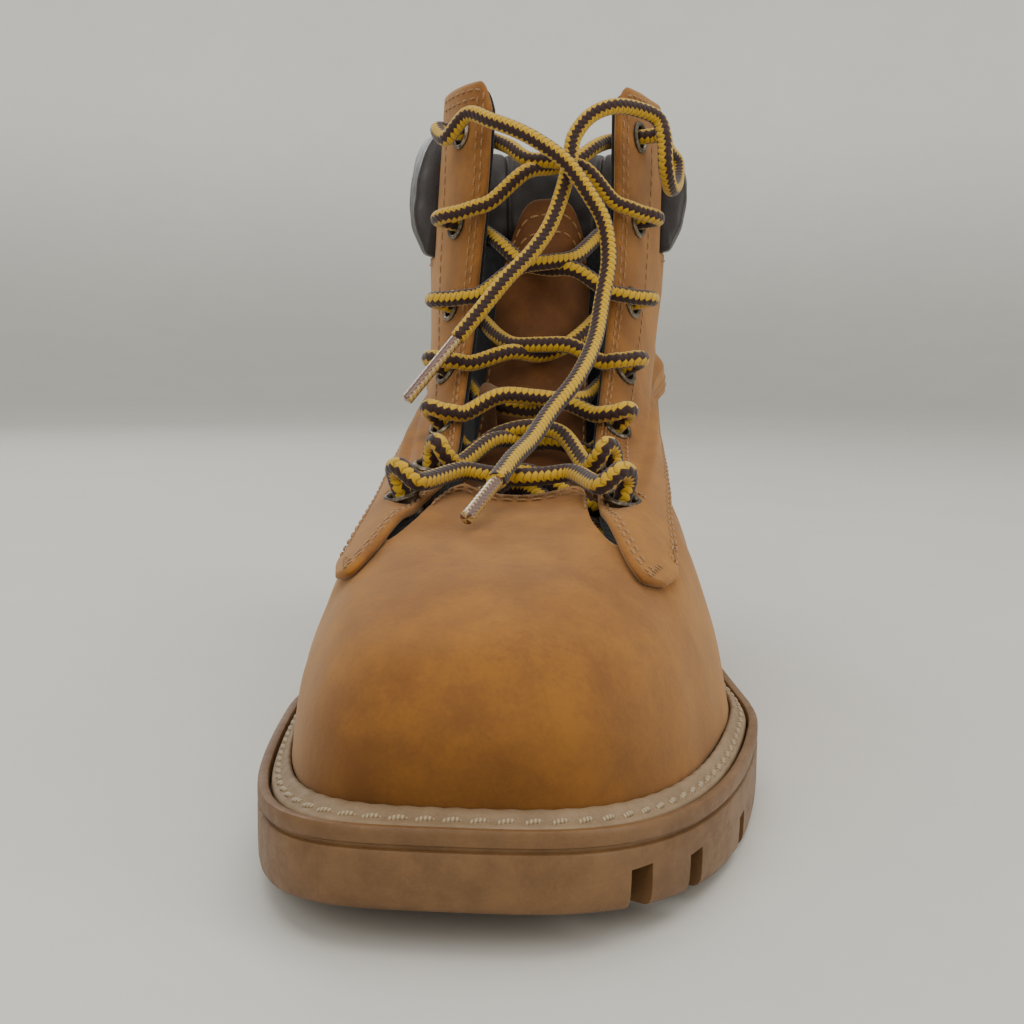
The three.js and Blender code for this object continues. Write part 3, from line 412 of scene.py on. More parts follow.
def cut_away(piece, cutter):
    """Subtracts one closed mesh from another for good, and removes the cutter."""
    tool = piece.modifiers.new("cut", "BOOLEAN")
    tool.operation, tool.solver, tool.object = "DIFFERENCE", "MANIFOLD", cutter
    graph = bpy.context.evaluated_depsgraph_get()
    graph.update()
    done = bpy.data.meshes.new_from_object(piece.evaluated_get(graph))
    piece.modifiers.clear()
    piece.data = done
    bpy.data.objects.remove(cutter)


def cutter_object(points, faces):
    mesh = bpy.data.meshes.new("cutter")
    mesh.from_pydata([tuple(p * MM) for p in points], [], [tuple(int(k) for k in f) for f in faces])
    mesh.update()
    cutter = bpy.data.objects.new("cutter", mesh)
    bpy.context.collection.objects.link(cutter)
    return cutter


# ---- shader building blocks ------------------------------------------------------------------
def new_group(name, inputs, outputs):
    """A shader node group with named sockets; inputs are (kind, name, default)."""
    group = bpy.data.node_groups.new(name, "ShaderNodeTree")
    for kind, label, value in inputs:
        socket = group.interface.new_socket(name=label, in_out="INPUT",
                                            socket_type="NodeSocket" + kind)
        if value is not None:
            socket.default_value = value
    for kind, label in outputs:
        group.interface.new_socket(name=label, in_out="OUTPUT", socket_type="NodeSocket" + kind)
    given, out = group.nodes.new("NodeGroupInput"), group.nodes.new("NodeGroupOutput")
    return group, given.outputs, out.inputs


class Wires:
    """Short ways to add nodes to one tree and join them up."""

    def __init__(self, tree):
        self.tree = tree

    def put(self, socket, value):
        if isinstance(value, bpy.types.NodeSocket):
            self.tree.links.new(value, socket)
        elif value is not None:
            socket.default_value = value

    def node(self, kind, values=None, **settings):
        node = self.tree.nodes.new("ShaderNode" + kind)
        for key, value in settings.items():
            setattr(node, key, value)
        for key, value in (values or {}).items():
            self.put(node.inputs[key], value)
        return node

    def math(self, operation, a, b=None, c=None):
        node = self.node("Math", operation=operation)
        for socket, value in zip(node.inputs, (a, b, c)):
            self.put(socket, value)
        return node.outputs[0]

    def times(self, a, b):
        return self.math("MULTIPLY", a, b)

    def fused(self, a, b, c):
        """a * b + c"""
        return self.math("MULTIPLY_ADD", a, b, c)

    def sine(self, a):
        return self.math("SINE", a)

    def noise(self, vector, scale, detail=2.0, roughness=0.5):
        node = self.node("TexNoise", {"Vector": vector, "Scale": scale, "Detail": detail,
                                      "Roughness": roughness})
        return node.outputs[0]

    def span(self, value, low, high, to_low=0.0, to_high=1.0):
        node = self.node("MapRange", {0: value, 1: low, 2: high, 3: to_low, 4: to_high},
                         interpolation_type="SMOOTHSTEP")
        return node.outputs[0]

    def mix(self, share, a, b, blend="MIX"):
        node = self.node("Mix", data_type="RGBA", blend_type=blend)
        self.put(node.inputs[0], share)
        self.put(node.inputs[6], a)
        self.put(node.inputs[7], b)
        return node.outputs[2]

    def use(self, group, values):
        node = self.node("Group")
        node.node_tree = group
        for key, value in values.items():
            self.put(node.inputs[key], value)
        return node.outputs

    def bump(self, height, strength, distance):
        return self.node("Bump", {"Height": height, "Strength": strength,
                                  "Distance": distance}).outputs[0]


def rgb(r, g, b):
    return (r, g, b, 1.0)


def mottle_group():
    """Cloudy colour: light and dark tones mixed by broad clouds, small blotches and fine
    specks."""
    group, given, out = new_group("Mottle", [
        ("Vector", "Vector", None), ("Color", "Light", rgb(1, 1, 1)), ("Color", "Dark",
                                                                       rgb(0, 0, 0)),
        ("Float", "Clouds", 22.0), ("Float", "Contrast", 0.5)], [("Color", "Color"),
                                                                 ("Float", "Mask")])
    w = Wires(group)
    broad = w.noise(given["Vector"], given["Clouds"], 3.0, 0.55)
    small = w.noise(given["Vector"], w.times(given["Clouds"], 7.0), 4.0, 0.6)
    specks = w.noise(given["Vector"], w.times(given["Clouds"], 60.0), 2.0, 0.7)
    total = w.fused(small, 0.42, w.times(broad, 0.42))
    total = w.fused(specks, 0.16, total)
    mask = w.span(total, w.fused(given["Contrast"], 0.14, 0.33), 0.66)
    w.put(out["Color"], w.mix(mask, given["Dark"], given["Light"]))
    w.put(out["Mask"], mask)
    return group


def nap_group():
    """Brushed nap: short fibres as fine noise stretched one way, over faint broader unevenness."""
    group, given, out = new_group("Nap", [
        ("Vector", "Vector", None), ("Float", "Fineness", 2200.0)], [("Float", "Height")])
    w = Wires(group)
    turned = w.node("Mapping", {"Vector": given["Vector"], "Rotation": (0.4, 0.2, 0.7),
                                "Scale": (1.0, 0.45, 1.0)}).outputs[0]
    fibres = w.noise(turned, given["Fineness"], 3.0, 0.75)
    soft = w.noise(given["Vector"], w.times(given["Fineness"], 0.12), 3.0, 0.6)
    w.put(out["Height"], w.fused(soft, 0.8, w.times(fibres, 0.5)))
    return group


def pebble_group():
    """Fine leather grain: cells with soft valleys, and sparse shallow creases across them."""
    group, given, out = new_group("Pebble", [
        ("Vector", "Vector", None), ("Float", "Cells", 900.0)], [("Float", "Height"),
                                                                 ("Float", "Valley")])
    w = Wires(group)
    cells = w.node("TexVoronoi", {"Vector": given["Vector"], "Scale": given["Cells"]},
                   feature="DISTANCE_TO_EDGE").outputs[0]
    valley = w.span(cells, 0.0, 0.12, 1.0, 0.0)
    creases = w.noise(given["Vector"], w.times(given["Cells"], 0.1), 4.0, 0.65)
    w.put(out["Height"], w.fused(creases, 1.2, w.times(valley, -0.5)))
    w.put(out["Valley"], valley)
    return group


def weave_group():
    """Plain weave: two crossed sets of rounded threads, over and under in a chessboard."""
    group, given, out = new_group("Weave", [
        ("Vector", "Vector", None), ("Float", "Threads", 1400.0)], [("Float", "Height"),
                                                                    ("Float", "Gap")])
    w = Wires(group)
    parts = w.node("SeparateXYZ", {0: given["Vector"]}).outputs
    across = w.times(w.math("ADD", parts[0], parts[1]), given["Threads"])
    along = w.times(w.math("SUBTRACT", parts[2], w.times(parts[1], 0.5)),
                   given["Threads"])
    a = w.math("ABSOLUTE", w.sine(w.times(across, math.pi)))
    b = w.math("ABSOLUTE", w.sine(w.times(along, math.pi)))
    over = w.sine(w.times(w.math("ADD", across, along), math.pi))
    height = w.math("MAXIMUM", w.fused(over, 0.25, a), w.fused(over, -0.25, b))
    w.put(out["Height"], height)
    w.put(out["Gap"], w.span(w.math("MAXIMUM", a, b), 0.3, 0.8, 1.0, 0.0))
    return group


def braid_group():
    """Herringbone braid on a cord's own map: u counts chevrons along it and v goes once round it.
    Three yellow and three dark red bands meet in saw teeth, and every chevron is a raised
    stitch, with painted shade in the grooves between stitches."""
    group, given, out = new_group("Braid", [
        ("Vector", "Map", None), ("Color", "First", rgb(1, 1, 1)), ("Color", "Second",
                                                                    rgb(0, 0, 0))],
        [("Color", "Color"), ("Float", "Height")])
    w = Wires(group)
    parts = w.node("SeparateXYZ", {0: given["Map"]}).outputs
    bands = w.times(parts[1], 6.0)
    slant = w.math("PINGPONG", bands, 1.0)
    tooth = w.math("FRACT", w.math("ADD", parts[0], w.times(slant, 0.5)))
    saw = w.times(w.math("PINGPONG", tooth, 0.5), 0.75)
    band = w.math("FRACT", w.times(w.math("ADD", bands, saw), 0.5))
    first = w.span(w.math("PINGPONG", band, 0.5), 0.225, 0.275)
    # Painted shade: the colour is halved in the grooves between chevron stitches.
    stitch = w.sine(w.times(tooth, math.pi))
    dark = w.span(stitch, 0.0, 0.5, 0.5, 1.0)
    colour = w.mix(first, given["Second"], given["First"])
    w.put(out["Color"], w.mix(1.0, colour, w.node("CombineColor",
                                                  {0: dark, 1: dark, 2: dark}).outputs[0],
                              "MULTIPLY"))
    w.put(out["Height"], stitch)
    return group


def scuff_group():
    """Rubbed marks: thin streaks of stretched noise, kept only where broad clouds allow them."""
    group, given, out = new_group("Scuffs", [("Vector", "Vector", None)], [("Float", "Mask")])
    w = Wires(group)
    streaks = w.node("Mapping", {"Vector": given["Vector"], "Scale": (60.0, 60.0, 420.0),
                                 "Rotation": (0.1, 0.3, 0.0)}).outputs[0]
    fine = w.noise(streaks, 3.0, 5.0, 0.65)
    where = w.noise(given["Vector"], 45.0, 2.0)
    w.put(out["Mask"], w.times(w.span(fine, 0.52, 0.7), w.span(where, 0.45, 0.7)))
    return group


MOTTLE, NAP, PEBBLE, WEAVE = mottle_group(), nap_group(), pebble_group(), weave_group()
BRAID, SCUFFS = braid_group(), scuff_group()


def new_material(name, **shader):
    """A material with a Principled shader whose constant sockets are given by name."""
    material = bpy.data.materials.new(name)
    material.use_nodes = True
    tree = material.node_tree
    principled = tree.nodes["Principled BSDF"]
    for key, value in shader.items():
        principled.inputs[key.replace("_", " ")].default_value = value
    return material, Wires(tree), principled.inputs, tree.nodes.new("ShaderNodeTexCoord").outputs


def nubuck(name, light, dark, clouds=17.0, fineness=2300.0):
    """Brushed leather: mottled tan, a soft sheen, a fine nap; the lower front of the toe is mixed
    darker, partly burnished leather and partly painted shade."""
    material, w, shader, place = new_material(
        name, Sheen_Weight=0.35, Sheen_Roughness=0.45, Sheen_Tint=rgb(1.0, 0.72, 0.45),
        Specular_IOR_Level=0.22)
    tone = w.use(MOTTLE, {"Vector": place["Object"], "Light": light, "Dark": dark,
                          "Clouds": clouds})
    parts = w.node("SeparateXYZ", {0: place["Object"]}).outputs
    # Painted shade and burnish: low on the toe's front the tan is mixed towards a darker tone.
    low = w.span(parts[2], 0.026, 0.058, 1.0, 0.0)
    front = w.span(parts[1], -0.150, -0.085, 1.0, 0.0)
    toe_burnish_and_shade = w.times(w.times(low, front), 0.42)
    shaded = w.mix(toe_burnish_and_shade, tone["Color"], tuple(0.55 * c for c in dark[:3]) + (1.0,))
    streak = w.noise(w.node("Mapping", {"Vector": place["Object"], "Scale": (26, 9,
                                                                             40)}).outputs[0],
                     1.0, 4.0, 0.6)
    w.put(shader["Base Color"], w.mix(w.span(streak, 0.55, 0.8, 0.0, 0.28), shaded, light))
    w.put(shader["Roughness"], w.span(tone["Mask"], 0.0, 1.0, 0.74, 0.92))
    height = w.use(NAP, {"Vector": place["Object"], "Fineness": fineness})["Height"]
    w.put(shader["Normal"], w.bump(height, 0.55, 0.00022))
    return material


def smooth_leather(name, light, dark, roughness=0.42, cells=850.0):
    """Finished leather with pebble grain, shallow creases, painted shade in the grain's valleys and
    a thin wax coat.
    """
    material, w, shader, place = new_material(name, Coat_Weight=0.12, Coat_Roughness=0.35,
                                              Specular_IOR_Level=0.45)
    tone = w.use(MOTTLE, {"Vector": place["Object"], "Light": light, "Dark": dark, "Clouds": 30.0})
    grain = w.use(PEBBLE, {"Vector": place["Object"], "Cells": cells})
    # Painted shade: the grain's valleys are mixed towards the dark tone.
    w.put(shader["Base Color"], w.mix(w.times(grain["Valley"], 0.35), tone["Color"], dark))
    w.put(shader["Roughness"], w.span(tone["Mask"], 0.0, 1.0, roughness + 0.1, roughness - 0.05))
    w.put(shader["Normal"], w.bump(grain["Height"], 0.35, 0.00018))
    return material


def woven(name, light, dark, threads=1300.0, roughness=0.9):
    """Woven cloth: thread ridges light, the gaps between them darkened as painted shade."""
    material, w, shader, place = new_material(name, Sheen_Weight=0.25, Sheen_Roughness=0.5,
                                              Specular_IOR_Level=0.2, Roughness=roughness)
    tone = w.use(MOTTLE, {"Vector": place["Object"], "Light": light, "Dark": dark, "Clouds": 60.0})
    cloth = w.use(WEAVE, {"Vector": place["Object"], "Threads": threads})
    # Painted shade: the gaps between threads are mixed towards the dark tone.
    w.put(shader["Base Color"], w.mix(cloth["Gap"], tone["Color"], dark))
    w.put(shader["Normal"], w.bump(cloth["Height"], 0.6, 0.0002))
    return material


def moulded_rubber(name, light, dark, roughness=0.5, scuffed=0.35):
    """Moulded gum rubber: cloudy honey brown, slightly waxy, with faint scuffs that dull it."""
    material, w, shader, place = new_material(name, Specular_IOR_Level=0.4, Subsurface_Weight=0.08,
                                              Subsurface_Scale=0.004,
                                              Subsurface_Radius=(1.0, 0.5, 0.25))
    tone = w.use(MOTTLE, {"Vector": place["Object"], "Light": light, "Dark": dark, "Clouds": 26.0,
                          "Contrast": 0.3})
    marks = w.use(SCUFFS, {"Vector": place["Object"]})["Mask"]
    paler = tuple(min(1.0, 1.25 * c + 0.02) for c in light[:3]) + (1.0,)
    w.put(shader["Base Color"], w.mix(w.times(marks, scuffed), tone["Color"], paler))
    w.put(shader["Roughness"], w.fused(marks, 0.25, w.span(
        tone["Mask"], 0.0, 1.0, roughness + 0.06, roughness - 0.06)))
    skin = w.noise(place["Object"], 1500.0, 4.0, 0.7)
    w.put(shader["Normal"], w.bump(w.fused(skin, 0.6, w.noise(place["Object"], 90.0)),
                                   0.28, 0.0003))
    return material


def sewing_thread(name, light, dark):
    """Twisted thread: plies as slanted ridges along the piece's own map, with painted shade in the
    grooves between them.
    """
    material, w, shader, place = new_material(name, Roughness=0.62, Sheen_Weight=0.2,
                                              Specular_IOR_Level=0.35)
    parts = w.node("SeparateXYZ", {0: place["UV"]}).outputs
    plies = w.sine(w.times(w.math("ADD", w.times(parts[0], 5.0), parts[1]),
                                  2 * math.pi))
    # Painted shade: the thread is mixed to its dark tone in the troughs between plies.
    w.put(shader["Base Color"], w.mix(w.span(plies, -0.9, 0.6), dark, light))
    w.put(shader["Normal"], w.bump(plies, 0.5, 0.0001))
    return material


def braided_cord(name, first, second, **shader_values):
    """Round braided lace, from the cord's own map."""
    material, w, shader, place = new_material(name, **shader_values)
    braid = w.use(BRAID, {"Map": place["UV"], "First": first, "Second": second})
    fuzz = w.noise(place["Object"], 2600.0, 3.0, 0.7)
    w.put(shader["Base Color"], w.mix(w.span(fuzz, 0.35, 0.75, 0.0, 0.35), braid["Color"],
                                      w.mix(0.5, braid["Color"], second)))
    w.put(shader["Normal"], w.bump(w.fused(fuzz, 0.4, braid["Height"]), 0.6, 0.0002))
    return material


def worn_metal(name, bare, patina, roughness=0.38, metallic=1.0, brushed=False):
    """Metal under a patina that noise rubs through; brushed metal adds fine parallel streaks."""
    material, w, shader, place = new_material(name, Metallic=metallic)
    tone = w.use(MOTTLE, {"Vector": place["Object"], "Light": bare, "Dark": patina,
                          "Clouds": 140.0})
    w.put(shader["Base Color"], tone["Color"])
    w.put(shader["Roughness"], w.span(tone["Mask"], 0.0, 1.0, roughness + 0.14, roughness - 0.06))
    stretch = (30.0, 3000.0, 900.0) if brushed else (900.0, 900.0, 900.0)
    lines = w.noise(w.node("Mapping", {"Vector": place["Object"], "Scale": stretch}).outputs[0],
                    1.0, 3.0)
    w.put(shader["Normal"], w.bump(lines, 0.2, 0.0001))
    return material


def pressed_board(name, light, dark, roughness=0.85):
    """Fibre board or foam: speckled, with a fine rough face."""
    material, w, shader, place = new_material(name, Specular_IOR_Level=0.2, Roughness=roughness)
    tone = w.use(MOTTLE, {"Vector": place["Object"], "Light": light, "Dark": dark, "Clouds": 90.0})
    w.put(shader["Base Color"], tone["Color"])
    w.put(shader["Normal"], w.bump(w.noise(place["Object"], 1700.0, 4.0, 0.75), 0.5, 0.0003))
    return material


TAN = nubuck("tan nubuck", rgb(0.320, 0.132, 0.024), rgb(0.195, 0.074, 0.0145))
# Painted shade: the tongue's tan is a darker copy of the vamp's nubuck, darkened for the shade it
# is seen in.
TONGUE_TAN_IN_SHADE = nubuck("tongue nubuck in painted shade", rgb(0.190, 0.072, 0.020), rgb(0.105, 0.038, 0.011))
KEEPER_BROWN = nubuck("keeper leather", rgb(0.145, 0.062, 0.026), rgb(0.075, 0.030, 0.013))
COLLAR_BROWN = smooth_leather("collar leather", rgb(0.030, 0.020, 0.018), rgb(0.013, 0.009, 0.008))
BLACK_CLOTH = woven("black lining", rgb(0.030, 0.030, 0.033), rgb(0.008, 0.008, 0.009))
FOOTBED_CLOTH = woven("footbed cloth", rgb(0.055, 0.055, 0.060), rgb(0.014, 0.014, 0.016), 900.0)
GUM = moulded_rubber("gum rubber", rgb(0.185, 0.094, 0.034), rgb(0.125, 0.060, 0.021))
WELT_STRIP = moulded_rubber("welt strip", rgb(0.270, 0.185, 0.105), rgb(0.185, 0.120, 0.064), 0.62,
                            0.2)
SOFT_BLACK = moulded_rubber("cap edge rubber", rgb(0.035, 0.034, 0.033), rgb(0.015, 0.015, 0.015),
                            0.7, 0.1)
TAN_THREAD = sewing_thread("tan thread", rgb(0.400, 0.205, 0.065), rgb(0.190, 0.085, 0.025))
CREAM_THREAD = sewing_thread("cream thread", rgb(0.420, 0.320, 0.190), rgb(0.220, 0.150, 0.080))
DARK_THREAD = sewing_thread("dark thread", rgb(0.060, 0.042, 0.035), rgb(0.020, 0.014, 0.012))
YELLOW, MAROON = rgb(0.560, 0.330, 0.010), rgb(0.030, 0.009, 0.007)
LACE_BRAID = braided_cord("lace braid", YELLOW, MAROON, Roughness=0.7, Sheen_Weight=0.25,
                          Specular_IOR_Level=0.3)
AGLET_FILM = braided_cord("aglet film", rgb(0.50, 0.34, 0.12), rgb(0.13, 0.05, 0.03),
                          Roughness=0.22,
                          Coat_Weight=1.0, Coat_Roughness=0.06, Specular_IOR_Level=0.6)
ANTIQUE = worn_metal("antique eyelet metal", rgb(0.30, 0.245, 0.175), rgb(0.085, 0.070, 0.055))
STEEL = worn_metal("pressed steel", rgb(0.56, 0.57, 0.58), rgb(0.40, 0.41, 0.42), 0.34,
                   brushed=True)
BOARD = pressed_board("fibre board", rgb(0.52, 0.40, 0.26), rgb(0.36, 0.26, 0.16))
FILLER = pressed_board("midsole filler", rgb(0.36, 0.27, 0.18), rgb(0.24, 0.17, 0.11))
FOAM = pressed_board("padding foam", rgb(0.44, 0.40, 0.28), rgb(0.33, 0.30, 0.20))


# ---- stitching -------------------------------------------------------------------------------
STITCHES = {}


def sew(thread, body, line, out, length=2.6, gap=0.8, width=0.66, lean=0.0):
    """Lays stitches end to end along a line. Each runs from the line to length further on, and
    lean turns its end aside, along the leather and square to the line."""
    run = run_along(line)
    count = max(1, int(run[-1] // (length + gap)))
    step = run[-1] / count
    start = (np.arange(count) + 0.5) * step - length / 2
    a, b = resampled(start, run, line), resampled(start + length, run, line)
    normal = unit(resampled(start + length / 2, run, out))
    aside = np.cross(normal, unit(b - a)) * lean
    STITCHES.setdefault((thread, body), []).append((a - aside, b + aside, normal, width))


def stitch_piece(name, thread, body, material, slot):
    """All stitches of one thread as one mesh: each is a short arched capsule of six-sided rings
    whose radius is the root of 1 - (2s - 1)^4 and whose middle stands proud of the leather."""
    share = np.array([0.0, 0.1, 0.3, 0.5, 0.7, 0.9, 1.0])
    ring = np.arange(6) * np.pi / 3
    fat = np.sqrt(np.maximum(1 - (2 * share - 1) ** 4, 0.06))
    lift = 0.34 * np.sin(np.pi * share) ** 0.7 - 0.3
    points, faces, uv, shift = [], [], [], 0
    tube_faces = grid_faces(len(share), 6, closed_columns=True)
    end = 6 * (len(share) - 1)
    caps = np.array([[0, 1, 2, 3], [0, 3, 4, 5], [end + 3, end + 2, end + 1, end],
                     [end + 5, end + 4, end + 3, end]])
    one = np.concatenate([tube_faces, caps])
    for a, b, normal, width in STITCHES.get((thread, body), []):
        along = b - a
        side = unit(np.cross(normal, along))
        centre = a[:, None] + along[:, None] * share[:, None] + normal[:, None] * (
            lift * width)[:, None]
        spread = (np.cos(ring)[:, None] * side[:, None, None] * width / 2
                  + np.sin(ring)[:, None] * normal[:, None, None] * width / 2 * 0.8)
        mesh = centre[:, :, None] + spread * fat[:, None, None]
        count = len(a)
        points.append(mesh.reshape(-1, 3))
        faces.append((one[None] + (np.arange(count) * 6 * len(share))[:, None, None]).reshape(-1, 4)
                     + shift)
        uv.append(np.tile(np.stack(np.meshgrid(share, ring / (2 * np.pi), indexing="ij"),
                                   -1).reshape(-1, 2), (count, 1)))
        shift += count * 6 * len(share)
    points, faces = np.concatenate(points), np.concatenate(faces)
    first = faces[:len(one)]
    turned = facing_out(points, first)
    faces = faces if np.array_equal(turned, first) else faces[:, ::-1]
    return new_piece(name, points, faces, material, slot, body, np.concatenate(uv))


def seam_line(angle, rise, off):
    """Points and outward normals along a line on the last."""
    angle, rise, off = np.broadcast_arrays(angle, rise, off)
    return on_last(angle, rise, off), out_of(angle, rise)


# ---- vamp ---------------------------------------------------------------------------------------
def vamp_height(angle, rise):
    """The vamp lies on the last, with slow unevenness and creases across the ball of the foot."""
    place = on_last(angle, rise)
    ball = np.exp(-((place[..., 1] + 40) / 26) ** 2) * smooth(0.05, 0.2, rise)
    folds = np.sin(place[..., 1] / 4.1 + 0.05 * place[..., 0]) * 0.22 * ball
    return 0.22 * ripple(place, 52.0, 1) + 0.12 * ripple(place, 19.0, 4) + folds


def vamp_edge(angle):
    return vamp_top(np.abs(angle))


def vamp_piece():
    angle, rise = column_grid(-BACK_SEAM, BACK_SEAM, lambda a: SHEET_FOOT + 0 * a, vamp_edge,
                              420, 74, 0.0012)
    piece = leather_sheet("vamp_leather", angle, rise, vamp_height, LEATHER, TAN, "tan_nubuck")
    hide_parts("vamp")
    for back in (2.4, 5.2):
        across = np.linspace(-29.5, 29.5, 80)
        height = vamp_edge(across) - rise_for(back, across, vamp_edge(across))
        sew("tan", "boot", *seam_line(across, height, 0.25))


# ---- quarters -----------------------------------------------------------------------------------
def quarter_grid(front, low, high, across, up):
    """Shares u (from the stay's front edge to the back seam) and v (from foot to top) become an
    angle and a rise: each depends on the other, so both are refined in turn until they settle."""
    u, v = share_grid(across, 0.0035, up, 0.006)
    angle = lerp(40.0, BACK_SEAM, u)
    for _ in range(60):
        rise = lerp(low(angle), high(angle), v)
        angle = lerp(front(rise), BACK_SEAM, u)
    return angle, rise


def stay_top(angle):
    """The quarter's top edge, with the stay's front corner rounded off."""
    return quarter_top(angle) - 0.035 * np.clip(1 - (angle - 32) / 8, 0, 1) ** 2.2


def quarter_foot(angle):
    return seam_rise(np.maximum(angle, 47))


def quarter_height(angle, rise):
    place = on_last(angle, rise)
    return leather_lap(angle, rise) + 0.2 * ripple(place, 48.0, 2) + 0.08 * ripple(place, 17.0, 6)


LOWEST_ROW, TOP_ROW = 0.405, 0.985


def row_rises():
    """Seven rises at even distances along the stay, from the top row down."""
    rise = lerp(LOWEST_ROW, TOP_ROW, np.linspace(0, 1, 201))
    line = on_last(stay_angle(1, rise, EYELET_SETBACK), rise)
    run = run_along(line)
    shares = np.linspace(1, 0, EYELET_ROWS)
    return np.array([rise[np.argmax(run >= s * run[-1] - 1e-9)] for s in shares])


ROW = row_rises()
PUNCH_REACH, PUNCH_ROOM = 13, 0.25


def eyelet_place(side, row, lap=frame_lap):
    """Where an eyelet sits: its rise, angle, the leather's lift under it, centre and outward
    way."""
    rise = ROW[row]
    angle = stay_angle(side, rise, EYELET_SETBACK)
    reach = degrees_for(EYELET_FLANGE / 2, angle, rise)
    around = np.array([[0, 0], [reach, 0], [-reach, 0], [0, 0.02], [0, -0.02], [-reach, -0.015]])
    lift = lap(np.abs(angle) + around[:, 0], rise + around[:, 1]).max()
    return rise, angle, lift, on_last(angle, rise), out_of(angle, rise)


def square_axes(way):
    """Two directions square to a direction and to each other."""
    aside = unit(np.cross(way, [0.0, 0.0, 1.0] if abs(way[2]) < 0.9 else [1.0, 0.0, 0.0]))
    return aside, np.cross(way, aside)


def punch_cutter(side):
    """Seven separate round punches, one through each eyelet hole of a side."""
    radius = EYELET_BARREL / 2 + PUNCH_ROOM
    points, faces = [], []
    count = 24
    turn = full_turn(count)
    for row in range(EYELET_ROWS):
        *_, centre, way = eyelet_place(side, row)
        a, b = square_axes(way)
        disc = (np.cos(turn)[:, None] * a + np.sin(turn)[:, None] * b) * radius
        shift = len(points) * 2 * count
        points.append(np.concatenate([centre + disc - PUNCH_REACH * way,
                                      centre + disc + PUNCH_REACH * way]))
        faces += [tuple(shift + k for k in reversed(range(count))),
                  tuple(shift + count + k for k in range(count))]
        faces += [(shift + k, shift + (k + 1) % count, shift + count + (k + 1) % count,
                   shift + count + k) for k in range(count)]
    return cutter_object(np.concatenate(points), faces)


def lining_height(angle, rise):
    return CAP_OUTER + 0.15 * ripple(on_last(angle, rise), 30.0, 9)


def quarter_pieces(name, side):
    angle, rise = quarter_grid(half_gap, quarter_foot, stay_top, 230, 110)
    quarter = leather_sheet(f"quarter_leather_{name}", side * angle, rise, quarter_height, LEATHER,
                            TAN, "tan_nubuck")
    cut_away(quarter, punch_cutter(side))
    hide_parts(f"quarter_{name}")
    angle, rise = quarter_grid(lambda r: half_gap(r) + 0.8, lambda a: SIDE_LINING_FOOT + 0 * a,
                               lambda a: stay_top(a) - 0.008 * (1 - smooth(69, 72, a)), 150, 80)
    lining = leather_sheet(f"quarter_cloth_{name}", side * angle, rise, lining_height, LINING,
                           BLACK_CLOTH, "lining_fabric")
    cut_away(lining, punch_cutter(side))
    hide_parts(f"quarter_lining_{name}")


def back_strip_piece():
    """A strip of lining that covers the back seam from the heel lining up to the collar."""
    angle, rise = column_grid(170.0, 190.0, lambda a: 0.27 + 0 * a, lambda a: 0.765 + 0 * a, 24, 90)
    leather_sheet("back_seam_strip", angle, rise, lambda a, r: lining_height(a, r) - LINING - 0.1,
                  0.8,
                  BLACK_CLOTH, "lining_fabric")


def quarter_seams(side):
    """Double rows round the quarter's edge, one row behind the eyelets and a bar tack at the
    tip."""
    def row(angle, rise, **how):
        sew("tan", "boot", *seam_line(side * angle, rise, quarter_height(side * angle,
                                                                         rise) + 0.15),
            **how)
    for back in (2.3, 4.9):
        rise = np.linspace(0.262, 1.035 - back * 0.0016, 160)
        row(np.abs(stay_angle(side, rise, back)), rise)
        angle = np.linspace(51.5 + back * 0.4, BACK_SEAM - 16, 240)
        foot = quarter_foot(angle)
        row(angle, foot + rise_for(back, angle, foot))
        angle = np.linspace(34.5 + back, 70.5 - back * 0.3, 60)
        top = stay_top(angle)
        row(angle, top - rise_for(back, angle, top))
    rise = np.linspace(0.36, 0.98, 110)
    row(np.abs(stay_angle(side, rise, 24.5)), rise)
    angle = np.linspace(80, BACK_SEAM - 6, 140)
    edge = collar_foot(angle)
    row(angle, edge - rise_for(3.2, angle, edge))
    for back in np.linspace(1.5, 9.5, 6):
        rise = np.linspace(0.262, 0.272, 2)
        row(np.abs(stay_angle(side, rise, back)), rise, length=1.6, gap=0.2)


# ---- backstay -----------------------------------------------------------------------------------
def backstay_under(rise):
    return 0.3 + (LEATHER + 0.75) * smooth(0.26, 0.32, rise) * (1 - smooth(0.45, 0.54, rise))


def backstay_piece():
    u, v = share_grid(90, 0.008, 130, 0.004)
    rise = lerp(SHEET_FOOT, collar_foot(180) - 0.012, v)
    angle = 180 + (2 * u - 1) * backstay_half(rise)

    def height(a, r):
        return backstay_under(r) + BACKSTAY_LEATHER + 0.1 * ripple(on_last(a, r), 40.0, 3)
    piece = leather_sheet("backstay_leather", angle, rise, height, BACKSTAY_LEATHER, TAN,
                          "tan_nubuck")
    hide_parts("backstay")
    for side in (-1, 1):
        for back in (1.8, 4.0):
            rise = np.linspace(0.02, collar_foot(180) - 0.03, 170)
            half = backstay_half(rise)
            angle = 180 + side * (half - degrees_for(back, 180.0, rise) * (1 - 0.25 * (half > 35)))
            sew("tan", "boot", *seam_line(angle, rise, height(angle, rise) + 0.15))


# ---- collar -------------------------------------------------------------------------------------
COLLAR_SKIN = np.array([[0.2, 0], [0.55, 0.1], [0.9, 0.28], [1, 0.5], [0.8, 0.75], [0.35, 0.94],
                        [-0.2, 1], [-0.7, 0.93], [-0.95, 0.72], [-0.95, 0.35], [-0.75, 0.02]])
COLLAR_SEAMS = np.array([112.0, 156.0, 204.0, 248.0])
COLLAR_ENDS = (COLLAR_FRONT + 1, 359 - COLLAR_FRONT)


